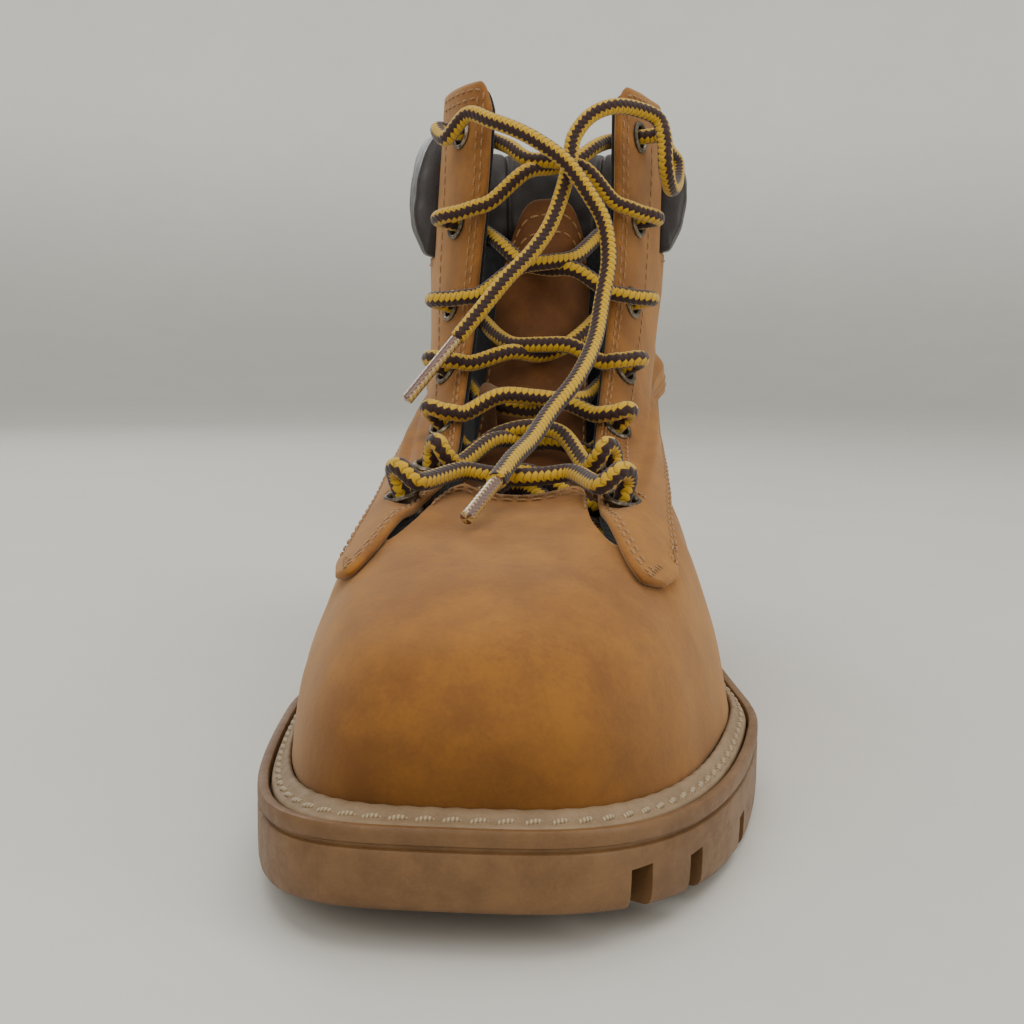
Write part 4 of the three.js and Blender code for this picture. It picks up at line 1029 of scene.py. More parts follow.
def closed_spline(points, count):
    """A smooth closed line through the points: each span is a cubic with the slopes of its
    neighbours' chords."""
    n = len(points)
    t = np.linspace(0, n, count, endpoint=False)
    i, s = t.astype(int), (t % 1)[:, None]
    p = [points[(i + k) % n] for k in (-1, 0, 1, 2)]
    return 0.5 * (2 * p[1] + (p[2] - p[0]) * s + (2 * p[0] - 5 * p[1] + 4 * p[2] - p[3]) * s ** 2
                  + (3 * p[1] - p[0] - 3 * p[2] + p[3]) * s ** 3)


def collar_surface(across, round_count, shrink, wrinkle):
    """The padded roll: its closed profile is carried round the ankle, drawn in at each cross seam
    by a narrow bell curve, puffed between seams, and closed by a quarter-round at each end."""
    first, last = COLLAR_ENDS
    angle = np.linspace(first, last, across)
    end = np.minimum(angle - first, last - angle)
    blunt = np.sqrt(np.clip(1 - (1 - np.clip(end / 3.0, 0, 1)) ** 2, 0, 1))
    seam = np.exp(-((angle[:, None] - COLLAR_SEAMS) / 1.5) ** 2).sum(1)
    swell = 1 - 0.22 * seam
    skin = closed_spline(COLLAR_SKIN, round_count)
    bottom = collar_foot(away(angle))
    tall = np.linalg.norm(on_last(angle, 1.0) - on_last(angle, bottom), axis=1)
    off = skin[:, 0] * COLLAR_BULGE * swell[:, None]
    up = (skin[:, 1] - 0.5)[None] * (1 - 0.04 * seam[:, None])
    size = np.hypot(off, up * tall[:, None])
    k = (1 - shrink / np.maximum(size, shrink + 0.5)) * blunt[:, None]
    height, share = off * k, 0.5 + up * k
    grid_angle = np.broadcast_to(angle[:, None], share.shape)
    rise = lerp(bottom[:, None], 1.0, share)
    place = on_last(grid_angle, rise, height)
    folds = wrinkle * (0.6 * ripple(place, 24.0, 5) + 0.5 * ripple(place, 9.0, 8)) * blunt[:, None]
    place = on_last(grid_angle, rise, height + folds * np.sign(skin[:, 0]))
    faces = grid_faces(across, round_count, closed_columns=True)
    points, faces = weld(place.reshape(-1, 3), faces)
    return points, facing_out(points, faces)


def collar_pieces():
    points, faces = collar_surface(560, 64, 0.0, 0.45)
    collar = new_piece("collar_roll", points, faces, COLLAR_BROWN, "collar_leather")
    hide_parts("collar")
    points, faces = collar_surface(180, 32, 1.6, 0.0)
    foam = new_piece("collar_stuffing", points, faces, FOAM, "padding_foam")
    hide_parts("collar_foam")
    for seam in COLLAR_SEAMS:
        share = np.linspace(0.12, 0.9, 30)
        bottom = collar_foot(away(seam))
        off = np.interp(share, [0.1, 0.28, 0.5, 0.75, 0.94], [0.55, 0.9, 1, 0.8, 0.35])
        sew("dark", "boot", *seam_line(seam, lerp(bottom, 1.0, share),
                                       off * COLLAR_BULGE * 0.7 + 0.2),
            length=2.4, gap=0.7, width=0.7)


# ---- tongue and lace keeper ---------------------------------------------------------------------
QUILT_STEP = 13
KEEPER_LEFT, KEEPER_RIGHT, KEEPER_HALF, KEEPER_THICKNESS = -27.0, -17.0, 0.03, 1.2


def tongue_height(angle, rise):
    """It leaves the vamp's underside and drops below the lace; slow waves show its soft
    filling."""
    low = tongue_base(angle)
    smooth_face = lerp(CAP_OUTER - 2 * GLUE_GAP, TONGUE_FACE, smooth(low + 0.01, low + 0.06, rise))
    place = on_last(angle, rise)
    soft = 0.35 * ripple(place, 36.0, 11) + 0.14 * ripple(place, 13.0, 12)
    return smooth_face + soft * smooth(low + 0.05, low + 0.12, rise) - 0.2


def tongue_edge(across):
    """Rise of the tongue's rounded top at a share of its half width."""
    return TONGUE_TOP - 0.12 * np.abs(across) ** 3.4


def tongue_grid(edge, low, high, across, up):
    """Angles and rises of a sheet that covers the given shares of the tongue's width and
    height."""
    u, v = share_grid(across, 0.006, up, 0.006)
    across, up = edge * (2 * u - 1), lerp(low, high, v)
    base = tongue_base(36 * across)
    rise = lerp(base, tongue_edge(across), up)
    return across * tongue_half(rise), rise


def tongue_pieces():
    angle, rise = tongue_grid(1.0, 0.0, 1.0, 110, 190)
    tongue = leather_sheet("tongue_leather", angle, rise, tongue_height, TONGUE_LEATHER, TONGUE_TAN_IN_SHADE,
                           "tongue_leather", "tongue")
    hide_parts("tongue")
    angle, rise = tongue_grid(0.94, 0.1, 0.97, 80, 140)

    def quilted(a, r):
        channel = np.sin(np.pi * np.clip((np.abs(a) % QUILT_STEP) / QUILT_STEP, 0, 1))
        return tongue_height(a, r) - TONGUE_LEATHER - 0.25 - 0.3 * channel
    padding = leather_sheet("tongue_pad", angle, rise, quilted, TONGUE_PADDING - 0.4, BLACK_CLOTH,
                            "padding_foam", "tongue")
    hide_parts("tongue_padding")
    for inset in (0.93, 0.85):
        across = np.linspace(-inset, inset, 90)
        rise = tongue_edge(across) - (1 - inset) * 0.22
        angle = across * tongue_half(rise)
        sew("tan", "tongue", *seam_line(angle, rise, tongue_height(angle, rise) + 0.15))
    for side in (-1, 1):
        rise = np.linspace(0.42, 0.76, 100)
        angle = side * 0.92 * tongue_half(rise)
        sew("tan", "tongue", *seam_line(angle, rise, tongue_height(angle, rise) + 0.15))


def keeper_piece():
    """A strap bowed out over the lace: its height is a blunted sine along its length."""
    row = ROW[3] + 0.004
    u, v = share_grid(26, 0.03, 90, 0.01)
    angle = lerp(KEEPER_LEFT, KEEPER_RIGHT, u)
    rise = lerp(row - KEEPER_HALF, row + KEEPER_HALF, v)
    bow = np.sin(np.pi * np.clip(v, 0, 1)) ** 0.6 * (LACE + 1.8)
    drop = rounded_edge(angle.shape, 0.35)
    under = TONGUE_FACE + 2 * GLUE_GAP + bow
    points, faces = shell(on_last(angle, rise, under + KEEPER_THICKNESS - drop),
                          on_last(angle, rise, under + drop))
    piece = new_piece("keeper_strap", points, faces, KEEPER_BROWN, "tongue_leather", "tongue")
    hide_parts("lace_keeper")


# ---- sole ---------------------------------------------------------------------------------------
ENDS, OUTER_HALF, INNER_HALF, BLUNT, SWING = (-154, 154), (56.5, 45, 40), (51.5, 38, 39), 0.58, -5
ARCH_FRONT, HEEL_BREAST, ARCH_HIGH = -8.0, 48.0, 13.0
NOTCH_WIDE, NOTCH_HIGH, NOTCH_DEEP = 7.0, 7.5, 12.0
GROOVE_WIDE, GROOVE_DEEP = 5.0, 4.0
WELT_EDGE, WELT_INNER = RIM_WIDTH + GLUE_GAP + 0.1, 11.9
FOOTBED_INSET, FOOTBED_TOP_INSET, FOOTBED_THICKNESS, HEEL_DISH = 8.2, 9.2, 4.4, 0.9
EDGE_NOTCHES = [21, 33, 50, 67, 82, 133, 148, 163, -45, -62, -78, -133, -148, -163]
CROSS_GROOVES = [-100, -76, -52, -28, 76, 98, 122]


def sole_edge(angle):
    x, y, _ = foot_plan(angle, *ENDS, OUTER_HALF, INNER_HALF, BLUNT, SWING)
    return np.stack([x, y], -1)


def edge_inset(angle, distance):
    """The sole's outline moved inwards by a distance, square to itself."""
    tangent = unit(sole_edge(angle + 1) - sole_edge(angle - 1))
    inward = np.stack([-tangent[..., 1], tangent[..., 0]], -1)
    return sole_edge(angle) + inward * distance


def tread_height(y):
    return 8 * np.clip((-80 - y) / 74, 0, 1) ** 1.8


def even_angles(count):
    """Angles that space points evenly along the sole's outline, the same on both its sides."""
    fine = np.linspace(0, 180, 2001)
    step = sum(np.linalg.norm(np.diff(sole_edge(side * fine), axis=0), axis=1) for side in (-1, 1))
    run = np.concatenate([[0], np.cumsum(step)])
    half = np.interp(np.linspace(0, run[-1], count // 2 + 1), run, fine)
    return np.concatenate([-half[:0:-1], half[:-1]])


def across_the_boot(values):
    """The values of each station's mirror station, where station 0 is at -180 degrees."""
    return values[-np.arange(len(values)) % len(values)]


def plate_rings(edge, height, shares, dish=0.0):
    """Rings that fill an outline by shrinking it towards a line along the middle, dished by
    dish."""
    spine = SPINE * (edge[:, 1] + across_the_boot(edge[:, 1]))
    ys = [lerp(spine, edge[:, 1], out) for out in shares]
    return [np.column_stack([edge[:, 0] * out, y, height(y) - dish * (1 - out ** 2)])
            for out, y in zip(shares, ys)]


def wall_and_plates(angle, wall, top_fill, bottom_fill):
    """A closed slab: the wall's rings (inset, height) run from the top edge down to the bottom
    edge, and a plate fills each end."""
    edges = [edge_inset(angle, float(inset)) for inset, _ in wall]
    rings = [np.column_stack([edge, height(edge[:, 1])]) for edge, (_, height) in zip(edges, wall)]
    shares = (0.94, 0.8, 0.6, 0.4, 0.2, 0.0)
    rings = (plate_rings(edges[0], top_fill, shares)[::-1] + rings
             + plate_rings(edges[-1], bottom_fill, shares))
    points = np.concatenate(rings)
    return weld(points, grid_faces(len(rings), len(angle), closed_columns=True))


def box_corners(x, y, z):
    return np.array([[sx * x, sy * y, sz * z] for sz in (-1, 1) for sx, sy in (
        (-1, -1), (1, -1), (1, 1), (-1, 1))], float)


BOX_FACES = np.array([[3, 2, 1, 0], [4, 5, 6, 7], [0, 1, 5, 4], [1, 2, 6, 5], [2, 3, 7, 6],
                      [3, 0, 4, 7]])


def lug_cutters():
    """One block square to the edge at each lug gap, narrower at its inner end, and one long block
    across each groove."""
    points, faces = [], []
    for angle in EDGE_NOTCHES:
        at, tangent = sole_edge(angle), unit(sole_edge(angle + 1) - sole_edge(angle - 1))
        inward = np.array([-tangent[1], tangent[0]])
        high = NOTCH_HIGH + tread_height(at[1])
        block = box_corners(NOTCH_WIDE / 2, NOTCH_DEEP, high)
        narrow = 1 - 0.22 * (block[:, 1] > 0) - 0.14 * (block[:, 2] > 0)
        flat = at + np.outer(block[:, 0] * narrow, tangent) + np.outer(block[:, 1], inward)
        faces.append(BOX_FACES + 8 * len(points))
        points.append(np.column_stack([flat, block[:, 2]]))
    return np.concatenate(points), np.concatenate(faces)


def groove_cutters():
    points, faces = [], []
    for y in CROSS_GROOVES:
        block = box_corners(43.0, GROOVE_WIDE / 2, GROOVE_DEEP + tread_height(y))
        points.append(block + [0, y, 0])
        faces.append(BOX_FACES + 8 * len(faces))
    return np.concatenate(points), np.concatenate(faces)


def arch_cutter():
    """The waist's clearance: a quadratic curve from the front, level, then a bevelled heel
    breast."""
    s = np.linspace(0, 1, 15)
    y = (1 - s) ** 2 * ARCH_FRONT + 2 * s * (1 - s) * (ARCH_FRONT + 20) + s * s * (HEEL_BREAST - 8)
    z = (1 - s) ** 2 * -1 + 2 * s * (1 - s) * ARCH_HIGH + s * s * ARCH_HIGH
    y = np.concatenate([y, [HEEL_BREAST, HEEL_BREAST]])
    z = np.concatenate([z, [ARCH_HIGH - 3, -1]])
    n = len(y)
    points = np.concatenate([np.column_stack([np.full(n, x), y, z]) for x in (-90, 90)])
    i = np.arange(n)
    faces = [tuple(range(n)), tuple(range(2 * n - 1, n - 1, -1))]
    faces += [(int(k), int(k + n), int((k + 1) % n + n), int((k + 1) % n)) for k in i]
    return cutter_object(points, faces)


def sole_pieces():
    seat = lambda y: welt_top(y) - WELT_THICKNESS - 2 * GLUE_GAP
    below = lambda drop: (lambda y: welt_top(y) - drop)
    above = lambda rise: (lambda y: tread_height(y) + rise)
    wall = [(RIM_WIDTH, seat), (RIM_WIDTH, below(0.5)), (RIM_WIDTH - 0.25, below(0.12)),
            (RIM_WIDTH - 0.7, below(0.0)), (0.75, below(0.0)), (0.3, below(0.1)), (0.05,
                                                                                   below(0.5)),
            (0.0, below(1.2)), (0.0, below(2.7)), (0.1, below(3.0)), (0.75, below(3.3)),
            (0.8, below(3.9)), (0.15, below(4.2)), (0.0, below(4.6)), (0.0, below(7.5)),
            (0.0, above(5.5)), (0.1, above(2.6)), (0.35, above(1.2)), (0.9, above(0.35)),
            (1.8, above(0.0)), (4.0, above(0.0))]
    points, faces = wall_and_plates(even_angles(620), wall, seat, tread_height)
    sole = new_piece("outsole_rubber", points, facing_out(points, faces), GUM, "sole_rubber")
    cut_away(sole, arch_cutter())
    cut_away(sole, cutter_object(*lug_cutters()))
    cut_away(sole, cutter_object(*groove_cutters()))
    tidy = bmesh.new()
    tidy.from_mesh(sole.data)
    bmesh.ops.remove_doubles(tidy, verts=tidy.verts, dist=2e-5)
    bmesh.ops.dissolve_degenerate(tidy, edges=tidy.edges, dist=1e-5)
    tidy.to_mesh(sole.data)
    tidy.free()
    sole.data.polygons.foreach_set("use_smooth", np.ones(len(sole.data.polygons), bool))
    sole.data.set_sharp_from_angle(angle=math.radians(38))
    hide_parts("outsole")


def welt_pieces():
    """The welt: its profile runs from just inside the sole's rim (share 0) to the foot of the vamp
    (share 1) and under it. A rounded bead presses against the vamp, a row of stitches lies on its
    outer slope, and a fine rib crosses the strip every few millimetres."""
    angle = even_angles(560)
    rim = edge_inset(angle, WELT_EDGE)
    foot = on_last(angle, 0.0, 0.0)[:, :2]
    under = edge_inset(angle, WELT_INNER)
    profile = np.array([[0.0, -3.2], [0.0, -0.7], [0.03, -0.35], [0.09, -0.05], [0.2, 0.1],
                        [0.32, 0.2],
                        [0.44, 0.6], [0.56, 1.2], [0.68, 1.65], [0.8, 1.8], [0.9, 1.65], [0.97,
                                                                                          1.1],
                        [1.0, 0.3], [1.01, -0.5]])
    rings = []
    for share, height in profile:
        edge = lerp(rim, foot, share)
        ribs = 0.09 * np.sin(np.arange(len(angle)) * np.pi / 2) * (0.1 < share < 0.95)
        rings.append(np.column_stack([edge, welt_top(edge[:, 1]) + height + ribs]))
    for height in (-0.5, -3.2):
        rings.append(np.column_stack([under, welt_top(under[:, 1]) + height]))
    points = np.concatenate(rings)
    faces = grid_faces(len(rings), len(angle), closed_rows=True, closed_columns=True)
    welt = new_piece("welt_band", points, facing_out(points, faces), WELT_STRIP, "welt_strip")
    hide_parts("welt")
    fine = np.append(even_angles(900), 180.0)
    edge = lerp(edge_inset(fine, WELT_EDGE), on_last(fine, 0.0, 0.0)[:, :2], 0.34)
    line = np.column_stack([edge, welt_top(edge[:, 1]) + 0.42])
    outward = np.column_stack([-0.45 * unit(foot[np.linspace(0, len(foot) - 1,
                                                             len(fine)).astype(int)]
                                            - edge), np.ones(len(fine))])
    sew("cream", "boot", line, unit(outward), length=3.7, gap=0.9, width=1.15, lean=0.45)


def footbed_piece():
    """The footbed: a cloth-topped foam plate whose edge is rounded and whose heel is dished."""
    angle = np.linspace(-180, 180, 241)[:-1]
    under = GLUE_GAP + BOARD_THICKNESS + GLUE_GAP
    rings = []
    for inset, height in ((FOOTBED_INSET, 0.0), (8.0, 0.4), (8.0, 3.2), (8.3, 4.0),
                          (FOOTBED_TOP_INSET, FOOTBED_THICKNESS)):
        foot = on_last(angle, 0.0, -inset)
        rings.append(np.column_stack([foot[:, :2], welt_top(foot[:, 1]) + under + height]))
    top = on_last(angle, 0.0, -FOOTBED_TOP_INSET)[:, :2]
    low = on_last(angle, 0.0, -FOOTBED_INSET)[:, :2]
    rings += plate_rings(top, lambda y: welt_top(y) + under + FOOTBED_THICKNESS,
                         (0.93, 0.8, 0.6, 0.4, 0.2, 0.0), HEEL_DISH)
    rings = plate_rings(low, lambda y: welt_top(y) + under, (0.8, 0.4, 0.0))[::-1] + rings
    points, faces = weld(np.concatenate(rings),
                         grid_faces(len(rings), len(angle), closed_columns=True))
    piece = new_piece("footbed_cover", points, facing_out(points, faces), FOOTBED_CLOTH,
                      "footbed_foam")
    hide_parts("footbed")


# ---- eyelets ------------------------------------------------------------------------------------
def eyelet_piece(name, side, row):
    """A lathed eyelet: domed rolled flange outside, barrel through the leathers, rolled foot
    inside."""
    *_, lift, centre, way = eyelet_place(side, row, leather_lap)
    bore, barrel, flange = EYELET_BORE / 2, EYELET_BARREL / 2, EYELET_FLANGE / 2
    top, low = lift + 0.15, -INNER_FACE - 0.45
    profile = np.array([
        [bore, low - 0.35], [bore + 0.15, low - 0.5], [barrel + 0.2, low - 0.45],
        [barrel + 0.45, low - 0.2], [barrel + 0.4, low], [barrel, low + 0.1], [barrel, top - 0.25],
        [barrel + 0.1, top], [flange - 0.15, top - 0.1], [flange, top + 0.12],
        [flange - 0.08, top + 0.4], [flange - 0.35, top + 0.68], [flange - 0.75, top + 0.86],
        [bore + 0.75, top + 0.9], [bore + 0.35, top + 0.74], [bore + 0.08, top + 0.4],
        [bore, top + 0.05], [bore, low + 0.4]])
    count = 48
    turn = full_turn(count)
    a, b = square_axes(way)
    around = np.cos(turn)[:, None] * a + np.sin(turn)[:, None] * b
    points = centre + profile[:, None, :1] * around[None] + profile[:, None, 1:] * way
    faces = grid_faces(len(profile), count, closed_rows=True, closed_columns=True)
    points = points.reshape(-1, 3)
    piece = new_piece(f"eyelet_ring_{name}_{row + 1}", points, facing_out(points, faces), ANTIQUE,
                      "eyelet_metal")
    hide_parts(f"eyelet_{name}_{row + 1}")


# ---- lace ---------------------------------------------------------------------------------------
LACE_OVER = LACE / 2 + 0.7
LACE_UNDER = -INNER_FACE - LACE_CHANNEL + LACE / 2 + 1.4
THROAT_HALF, QUARTER_WAY = 20.0, 13.0
ARCH = [0.135, 0.085, 0.045, 0.03, 0.02, 0.02]
BAR_RISE = tongue_base(0) + 0.085
BAR_OVER = LACE_OVER + 1.8
UPPER_STRAND = LACE_UNDER + LACE + 0.6


def lace_points(side, rise, target, route):
    """Points given as [mm forward of an eyelet's centre, height off the last]; on the way their
    rise
    moves from the eyelet's to the crossing's as a power of the share of the way."""
    forward, off = np.array(route, float).T
    share = (np.maximum(forward, 0) / (EYELET_SETBACK + THROAT_HALF)) ** 1.6
    at = lerp(rise, target, share)
    return list(on_last(side * (half_gap(at) + degrees_for(EYELET_SETBACK - forward, side * 45.0,
                                                           at)),
                        at, off))


def pass_out(side, row):
    rise, _, lift, _, _ = eyelet_place(side, row)
    return lace_points(side, rise, rise, [[0, -INNER_FACE + 0.8], [0, lift + 1.4],
                                          [-0.5, lift + 4.3]])


def over_stay(side, row, target):
    rise, _, lift, _, _ = eyelet_place(side, row)
    return lace_points(side, rise, target, [[1.6, lift + 6.9], [5.4, lift + 7.4], [9.8, lift + 5.4],
                                            [13.2, lift + LACE_OVER + 1], [17.2, 1.5]])


def under_stay(side, row, target):
    return lace_points(side, ROW[row], target, [
        [17.6, LACE_UNDER + 0.6], [13, LACE_UNDER], [7.4, LACE_UNDER], [3.4, LACE_UNDER + 0.2],
        [0.9, LACE_UNDER + 1.4]])


def lace_half(first_side, middle_off):
    """Half the threaded run: from the bar over the vamp, into the lowest eyelet and crossing
    up."""
    lowest = EYELET_ROWS - 1
    points = [on_last(first_side * 10.0, BAR_RISE, BAR_OVER),
              on_last(first_side * 21.0, BAR_RISE - 0.015, BAR_OVER + 0.4)]
    points += over_stay(first_side, lowest, BAR_RISE)[:4][::-1] + pass_out(first_side, lowest)[::-1]
    side = first_side
    for row in range(lowest, 0, -1):
        here, above = ROW[row], ROW[row - 1]
        target = (here + above) / 2 + ARCH[lowest - row]
        leaving = (under_stay(side, row, target)[::-1] if row == lowest
                   else over_stay(side, row, target))
        leaving_off = LACE_UNDER + 0.8 if row == lowest else 1.5
        points += leaving + [
            on_last(side * QUARTER_WAY, lerp(here, target, 0.86),
                    (leaving_off + middle_off) / 2 + 0.5),
            on_last(0.0, target, middle_off),
            on_last(-side * QUARTER_WAY, lerp(above, target, 0.86),
                    (LACE_UNDER + 0.8 + middle_off) / 2 + 0.3)]
        side = -side
        points += under_stay(side, row - 1, target) + pass_out(side, row - 1)
    return points


def smooth_path(points, step):
    """A centripetal Catmull-Rom curve through the points, resampled at even steps along it."""
    points = np.array(points, float)
    ends = (2 * points[0] - points[1], 2 * points[-1] - points[-2])
    p = np.concatenate([[ends[0]], points, [ends[1]]])
    gap = np.sqrt(np.maximum(np.linalg.norm(np.diff(p, axis=0), axis=1), 1e-6))
    t0, t1, t2 = gap[:-2, None], gap[1:-1, None], gap[2:, None]
    p0, p1, p2, p3 = p[:-3], p[1:-2], p[2:-1], p[3:]
    m1 = ((p1 - p0) / t0 - (p2 - p0) / (t0 + t1) + (p2 - p1) / t1) * t1
    m2 = ((p2 - p1) / t1 - (p3 - p1) / (t1 + t2) + (p3 - p2) / t2) * t1
    s = np.linspace(0, 1, 40, endpoint=False)[:, None, None]
    line = (p1 * (1 + 2 * s) * (1 - s) ** 2 + m1 * s * (1 - s) ** 2 + p2 * s * s * (3 - 2 * s)
            - m2 * s * s * (1 - s))
    line = np.concatenate([line.transpose(1, 0, 2).reshape(-1, 3), points[-1:]])
    run = run_along(line)
    at = np.linspace(0, run[-1], max(2, int(run[-1] / step)))
    return resampled(at, run, line), run[-1]


def carried_frame(line):
    """Two directions square to the path, carried along it without twist: each step turns the last
    pair by the smallest turn between neighbouring tangents."""
    tangent = unit(np.gradient(line, axis=0))
    side = np.empty_like(tangent)
    side[0] = square_axes(tangent[0])[0]
    for i in range(1, len(line)):
        kept = side[i - 1] - tangent[i] * np.dot(side[i - 1], tangent[i])
        side[i] = kept / np.linalg.norm(kept)
    return side, np.cross(tangent, side), tangent


CHEVRON = 1.6
AGLET_RADIUS = LACE / 2 * 0.72


def cord_mesh(line, length, radius, sides=18):
    """A round cord along a path; its map counts chevrons along it and one turn round it. The braid
    swells it by a few hundredths between chevrons."""
    a, b, tangent = carried_frame(line)
    run = np.linspace(0, length, len(line))
    turn = np.linspace(0, 2 * np.pi, sides + 1)
    wave = radius * (1 + 0.02 * np.sin(2 * np.pi * run[:, None] / CHEVRON
                                       + 2 * np.abs((turn / np.pi * 2) % 2 - 1)))
    ring = np.cos(turn)[None, :, None] * a[:, None] + np.sin(turn)[None, :, None] * b[:, None]
    grid = line[:, None] + ring * wave[..., None]
    uv = np.stack(np.broadcast_arrays(run[:, None] / CHEVRON, turn / (2 * np.pi)), -1)
    return grid, uv, tangent


def cord_body(line, length, radius):
    """The cord with a seam column, so that its map closes, and a domed pole at each end."""
    grid, uv, tangent = cord_mesh(line, length, radius)
    dome, bulge = (0.75, 0.0), 0.35 * radius
    first = [lerp(line[0], grid[0], k) - tangent[0] * bulge * (1 - k) for k in dome[::-1]]
    last = [lerp(line[-1], grid[-1], k) + tangent[-1] * bulge * (1 - k) for k in dome]
    grid = np.concatenate([np.stack(first), grid, np.stack(last)])
    uv = np.concatenate([uv[:1], uv[:1], uv, uv[-1:], uv[-1:]])
    points, faces = grid.reshape(-1, 3), grid_faces(*grid.shape[:2])
    return points, facing_out(points, faces), uv.reshape(-1, 2)


def mapped_piece(name, points, faces, uv, material, slot):
    """A piece whose seam column and poles share points while its map keeps separate corners."""
    joined, index = np.unique(np.round(points / 1e-4).astype(np.int64), axis=0, return_inverse=True)
    index = index.reshape(-1)
    first = np.zeros(len(joined), int)
    first[index[::-1]] = np.arange(len(points))[::-1]
    corner_faces = index[faces]
    distinct = [corner_faces[:, k] != corner_faces[:, (k + 1) % 4] for k in range(4)]
    whole = np.all(distinct, axis=0)
    missing = np.argmin(np.stack(distinct, 1)[~whole], axis=1)
    pick = (missing[:, None] + np.array([1, 2, 3])) % 4
    quads, tri = faces[whole], np.take_along_axis(faces[~whole], pick, 1)
    tri = tri[np.array([len(set(row)) == 3 for row in index[tri]], bool)]
    mesh = smooth_mesh(name, points[first], index[quads], index[tri])
    lay_map(mesh, uv[np.concatenate([quads.ravel(), tri.ravel()])])
    return placed(name, mesh, material, slot, "boot")


MEDIAL_END = [[-42, 0.97, 9], [-31, 0.99, 10], [-22, 0.98, 10.5], [-14, 0.97, 10.5],
              [-8, 0.96, 10.6],
              [1, 0.94, 10.6], [9, 0.91, 10.4], [15, 0.88, 10.4], [18, 0.84, 10.4], [18, 0.79, 10],
              [19, 0.72, 10], [15, 0.66, 10], [8, 0.62, 9.5], [3, 0.58, 9.6], [-1, 0.54, 9.5],
              [-4, 0.5, 7.2]]
MEDIAL_TIP = [-9, 0.44, 3.4]
LATERAL_END = [[53, 0.97, 7], [59, 0.955, 8.5], [55, 0.93, 9.5], [44, 0.92, 11.5], [36, 0.94, 14],
               [34, 0.97, 14.5], [33, 0.99, 13], [26, 1, 10.5], [17, 1, 9], [10, 0.99, 7],
               [5, 0.97, 5.6], [4, 0.95, 5.4], [2, 0.92, 5.6], [-2, 0.88, 5.8], [-7, 0.85, 7],
               [-13, 0.82, 9], [-20, 0.77, 10.6]]
LATERAL_TIP = [-50, 0.58, 11.5]


def free_end(name, side, route, tip):
    """A lace end: out of the top eyelet, along its route, and into the aglet at its tip."""
    _, out, bend = pass_out(side, 0)
    outward = unit(bend - out)
    start = bend + 0.4 * outward
    knots = [start, start + 2.5 * outward] + [on_last(*spot) for spot in np.array(route, float)]
    end = on_last(*map(float, tip))
    to_tip = unit(end - knots[-1])
    seat = end - AGLET_LENGTH * to_tip
    line, length = smooth_path(knots + [seat], 0.5)
    piece = mapped_piece(f"lace_tail_{name}", *cord_body(line, length, LACE / 2), LACE_BRAID,
                         "lace_cord")
    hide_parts(f"lace_end_{name}")
    share = np.linspace(0, 1, 40)[:, None]
    stiff = lerp(seat + 0.4 * to_tip, end, share)
    run = float(np.linalg.norm(stiff[-1] - stiff[0]))
    sleeve = mapped_piece(f"aglet_sleeve_{name}", *cord_body(stiff, run, AGLET_RADIUS), AGLET_FILM,
                          "aglet_plastic")
    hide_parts(f"aglet_{name}")


def lace_pieces():
    middle = on_last(0.0, BAR_RISE, BAR_OVER)
    points = lace_half(-1, UPPER_STRAND)[::-1] + [middle] + lace_half(1, LACE_UNDER + 0.1)
    line, length = smooth_path(points, 0.55)
    piece = mapped_piece("lace_run", *cord_body(line, length, LACE / 2), LACE_BRAID, "lace_cord")
    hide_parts("lace")
    free_end("medial", -1, MEDIAL_END, MEDIAL_TIP)
    free_end("lateral", 1, LATERAL_END, LATERAL_TIP)


# ---- all pieces ---------------------------------------------------------------------------------
vamp_piece()
for side_name, side_sign in SIDES.items():
    quarter_pieces(side_name, side_sign)
    quarter_seams(side_sign)
    for eyelet_row in range(EYELET_ROWS):
        eyelet_piece(side_name, side_sign, eyelet_row)
backstay_piece()
back_strip_piece()
collar_pieces()
tongue_pieces()
keeper_piece()
sole_pieces()
welt_pieces()
footbed_piece()
lace_pieces()
stitch_piece("tan_stitches", "tan", "boot", TAN_THREAD, "tan_nubuck")
stitch_piece("tongue_stitches", "tan", "tongue", TAN_THREAD, "tongue_leather")
stitch_piece("collar_stitches", "dark", "boot", DARK_THREAD, "collar_leather")
stitch_piece("welt_stitches", "cream", "boot", CREAM_THREAD, "welt_strip")

KEPT = {"midsole": FILLER, "shank": STEEL, "insole_board": BOARD, "toe_cap": STEEL,
        "toe_cap_edge_strip": SOFT_BLACK, "heel_counter": BOARD, "vamp_lining": BLACK_CLOTH,
        "heel_lining": BLACK_CLOTH}
for node_name, finish in KEPT.items():
    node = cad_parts[node_name]
    node.data.materials.clear()
    node.data.materials.append(finish)


# ---- floor, light and camera --------------------------------------------------------------------
FLOOR_RADIUS, SWEEP_RADIUS, WALL_TOP = 2.4, 1.6, 7.0


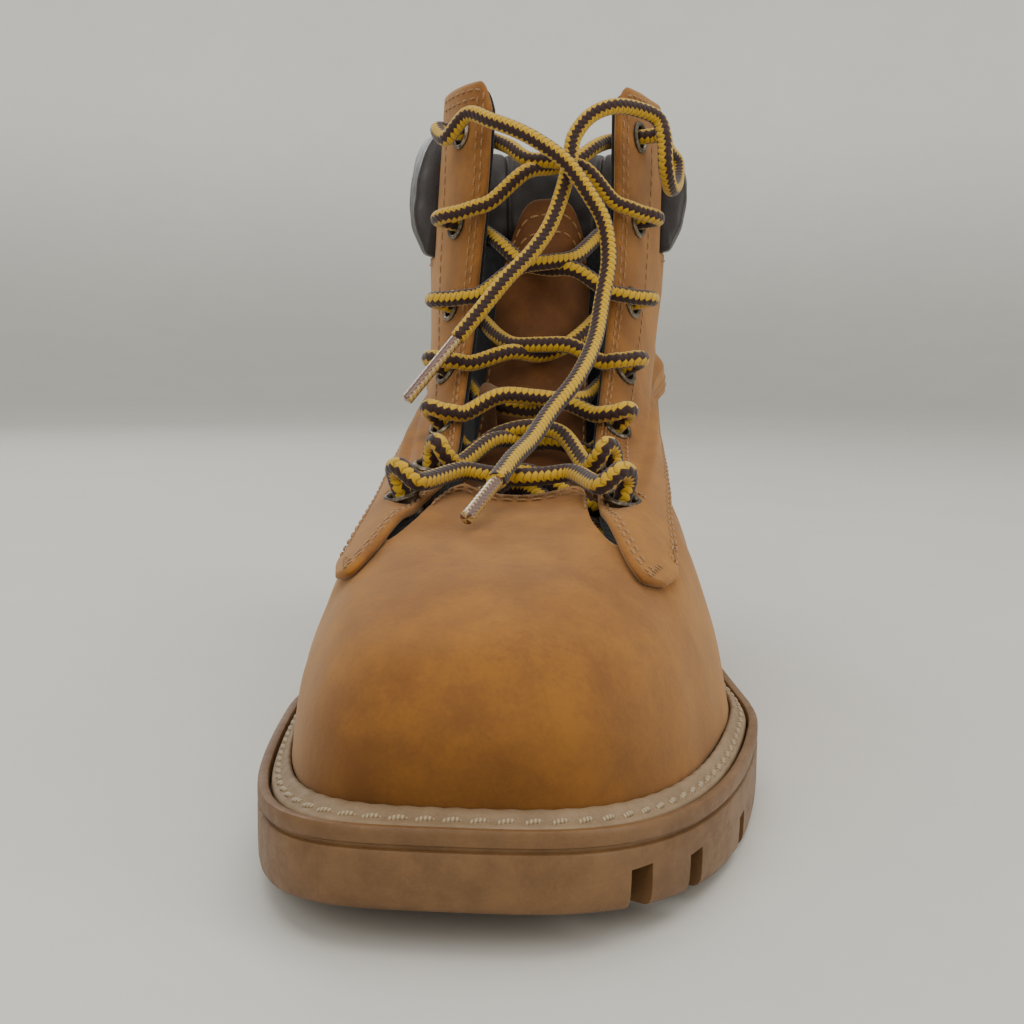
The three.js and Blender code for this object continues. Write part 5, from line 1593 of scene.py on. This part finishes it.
def backdrop():
    """A round floor that curves up into a wall all round: level, a quarter circle, then
    upright. Its wall gives off light of its own, more with height, though it is no lamp."""
    turn = np.linspace(0, np.pi / 2, 25)
    out = np.concatenate([[0.05, 1.0], FLOOR_RADIUS + SWEEP_RADIUS * np.sin(turn),
                          [FLOOR_RADIUS + SWEEP_RADIUS]])
    up = np.concatenate([[0.0, 0.0], SWEEP_RADIUS - SWEEP_RADIUS * np.cos(turn), [WALL_TOP]])
    around = np.linspace(0, 2 * np.pi, 97)[:-1]
    grid = np.stack([out[:, None] * np.cos(around), out[:, None] * np.sin(around),
                     np.broadcast_to(up[:, None], (len(up), len(around)))], -1).reshape(-1, 3)
    mesh = bpy.data.meshes.new("backdrop")
    rings = grid_faces(len(up), len(around), closed_columns=True)
    mesh.from_pydata(grid.tolist(), [], rings.tolist() + [list(range(len(around)))])
    mesh.polygons.foreach_set("use_smooth", np.ones(len(mesh.polygons), bool))
    floor = bpy.data.objects.new("backdrop", mesh)
    bpy.context.collection.objects.link(floor)
    material, w, shader, place = new_material("pale self-lit backdrop", Roughness=0.6,
                                              Specular_IOR_Level=0.3)
    tone = w.use(MOTTLE, {"Vector": place["Object"], "Light": rgb(0.66, 0.645, 0.60),
                          "Dark": rgb(0.63, 0.615, 0.575), "Clouds": 1.5})
    w.put(shader["Base Color"], tone["Color"])
    # Painted light: the wall emits light, none at the floor and rising to full at 0.9 m up.
    height = w.node("SeparateXYZ", {0: place["Object"]}).outputs[2]
    self_lit_wall = w.span(height, 0.0, 0.9)
    shader["Emission Strength"].default_value = 0.33
    w.put(shader["Emission Color"], w.mix(self_lit_wall, rgb(0, 0, 0), rgb(0.98, 1.0, 0.96)))
    mesh.materials.append(material)


def area_light(name, place, aim, size, power, colour):
    light = bpy.data.lights.new(name, "AREA")
    light.shape, light.size, light.size_y = "RECTANGLE", *size
    light.energy, light.color = power, colour
    lamp = bpy.data.objects.new(name, light)
    lamp.location = place
    lamp.rotation_euler = (Vector(aim) - Vector(place)).to_track_quat("-Z", "Y").to_euler()
    bpy.context.collection.objects.link(lamp)


backdrop()
MIDDLE = (0.0, 0.0, 0.085)
LAMPS = [  # name, place, size, watts, colour
    ("overhead", (0.15, -0.15, 1.35), (1.3, 1.3), 11.5, (1.0, 0.97, 0.93)),
    ("front", (-0.55, -1.25, 0.85), (0.9, 0.9), 6, (1.0, 0.98, 0.95)),
    ("side", (1.15, -0.55, 0.55), (0.6, 0.9), 4.5, (1.0, 0.97, 0.94)),
    ("rim", (-0.7, 0.95, 0.75), (0.8, 0.6), 3.5, (0.95, 0.97, 1.0))]
for lamp_name, lamp_place, *lamp_rest in LAMPS:
    area_light(lamp_name, lamp_place, MIDDLE, *lamp_rest)
SKY_COLOUR, SKY_STRENGTH = rgb(0.80, 0.82, 0.84), 0.48
world = bpy.data.worlds.new("studio")
bpy.context.scene.world = world
world.use_nodes = True
sky = world.node_tree.nodes["Background"].inputs
sky["Color"].default_value, sky["Strength"].default_value = SKY_COLOUR, SKY_STRENGTH

camera = bpy.data.cameras.new("camera")
camera.lens, camera.sensor_width, camera.clip_start = 47.0, 36.0, 0.01
eye = bpy.data.objects.new("camera", camera)
bpy.context.collection.objects.link(eye)
CAMERA_PLACE, CAMERA_YAW, CAMERA_PITCH, CAMERA_ROLL = (0.0193, -0.3648, 0.100), 4.15, -6.65, 0.73
eye.matrix_world = (Matrix.Translation(CAMERA_PLACE) @ Matrix.Rotation(math.radians(CAMERA_YAW), 4,
                                                                       "Z")
                    @ Matrix.Rotation(math.radians(90 + CAMERA_PITCH), 4, "X")
                    @ Matrix.Rotation(math.radians(CAMERA_ROLL), 4, "Z"))
bpy.context.scene.camera = eye
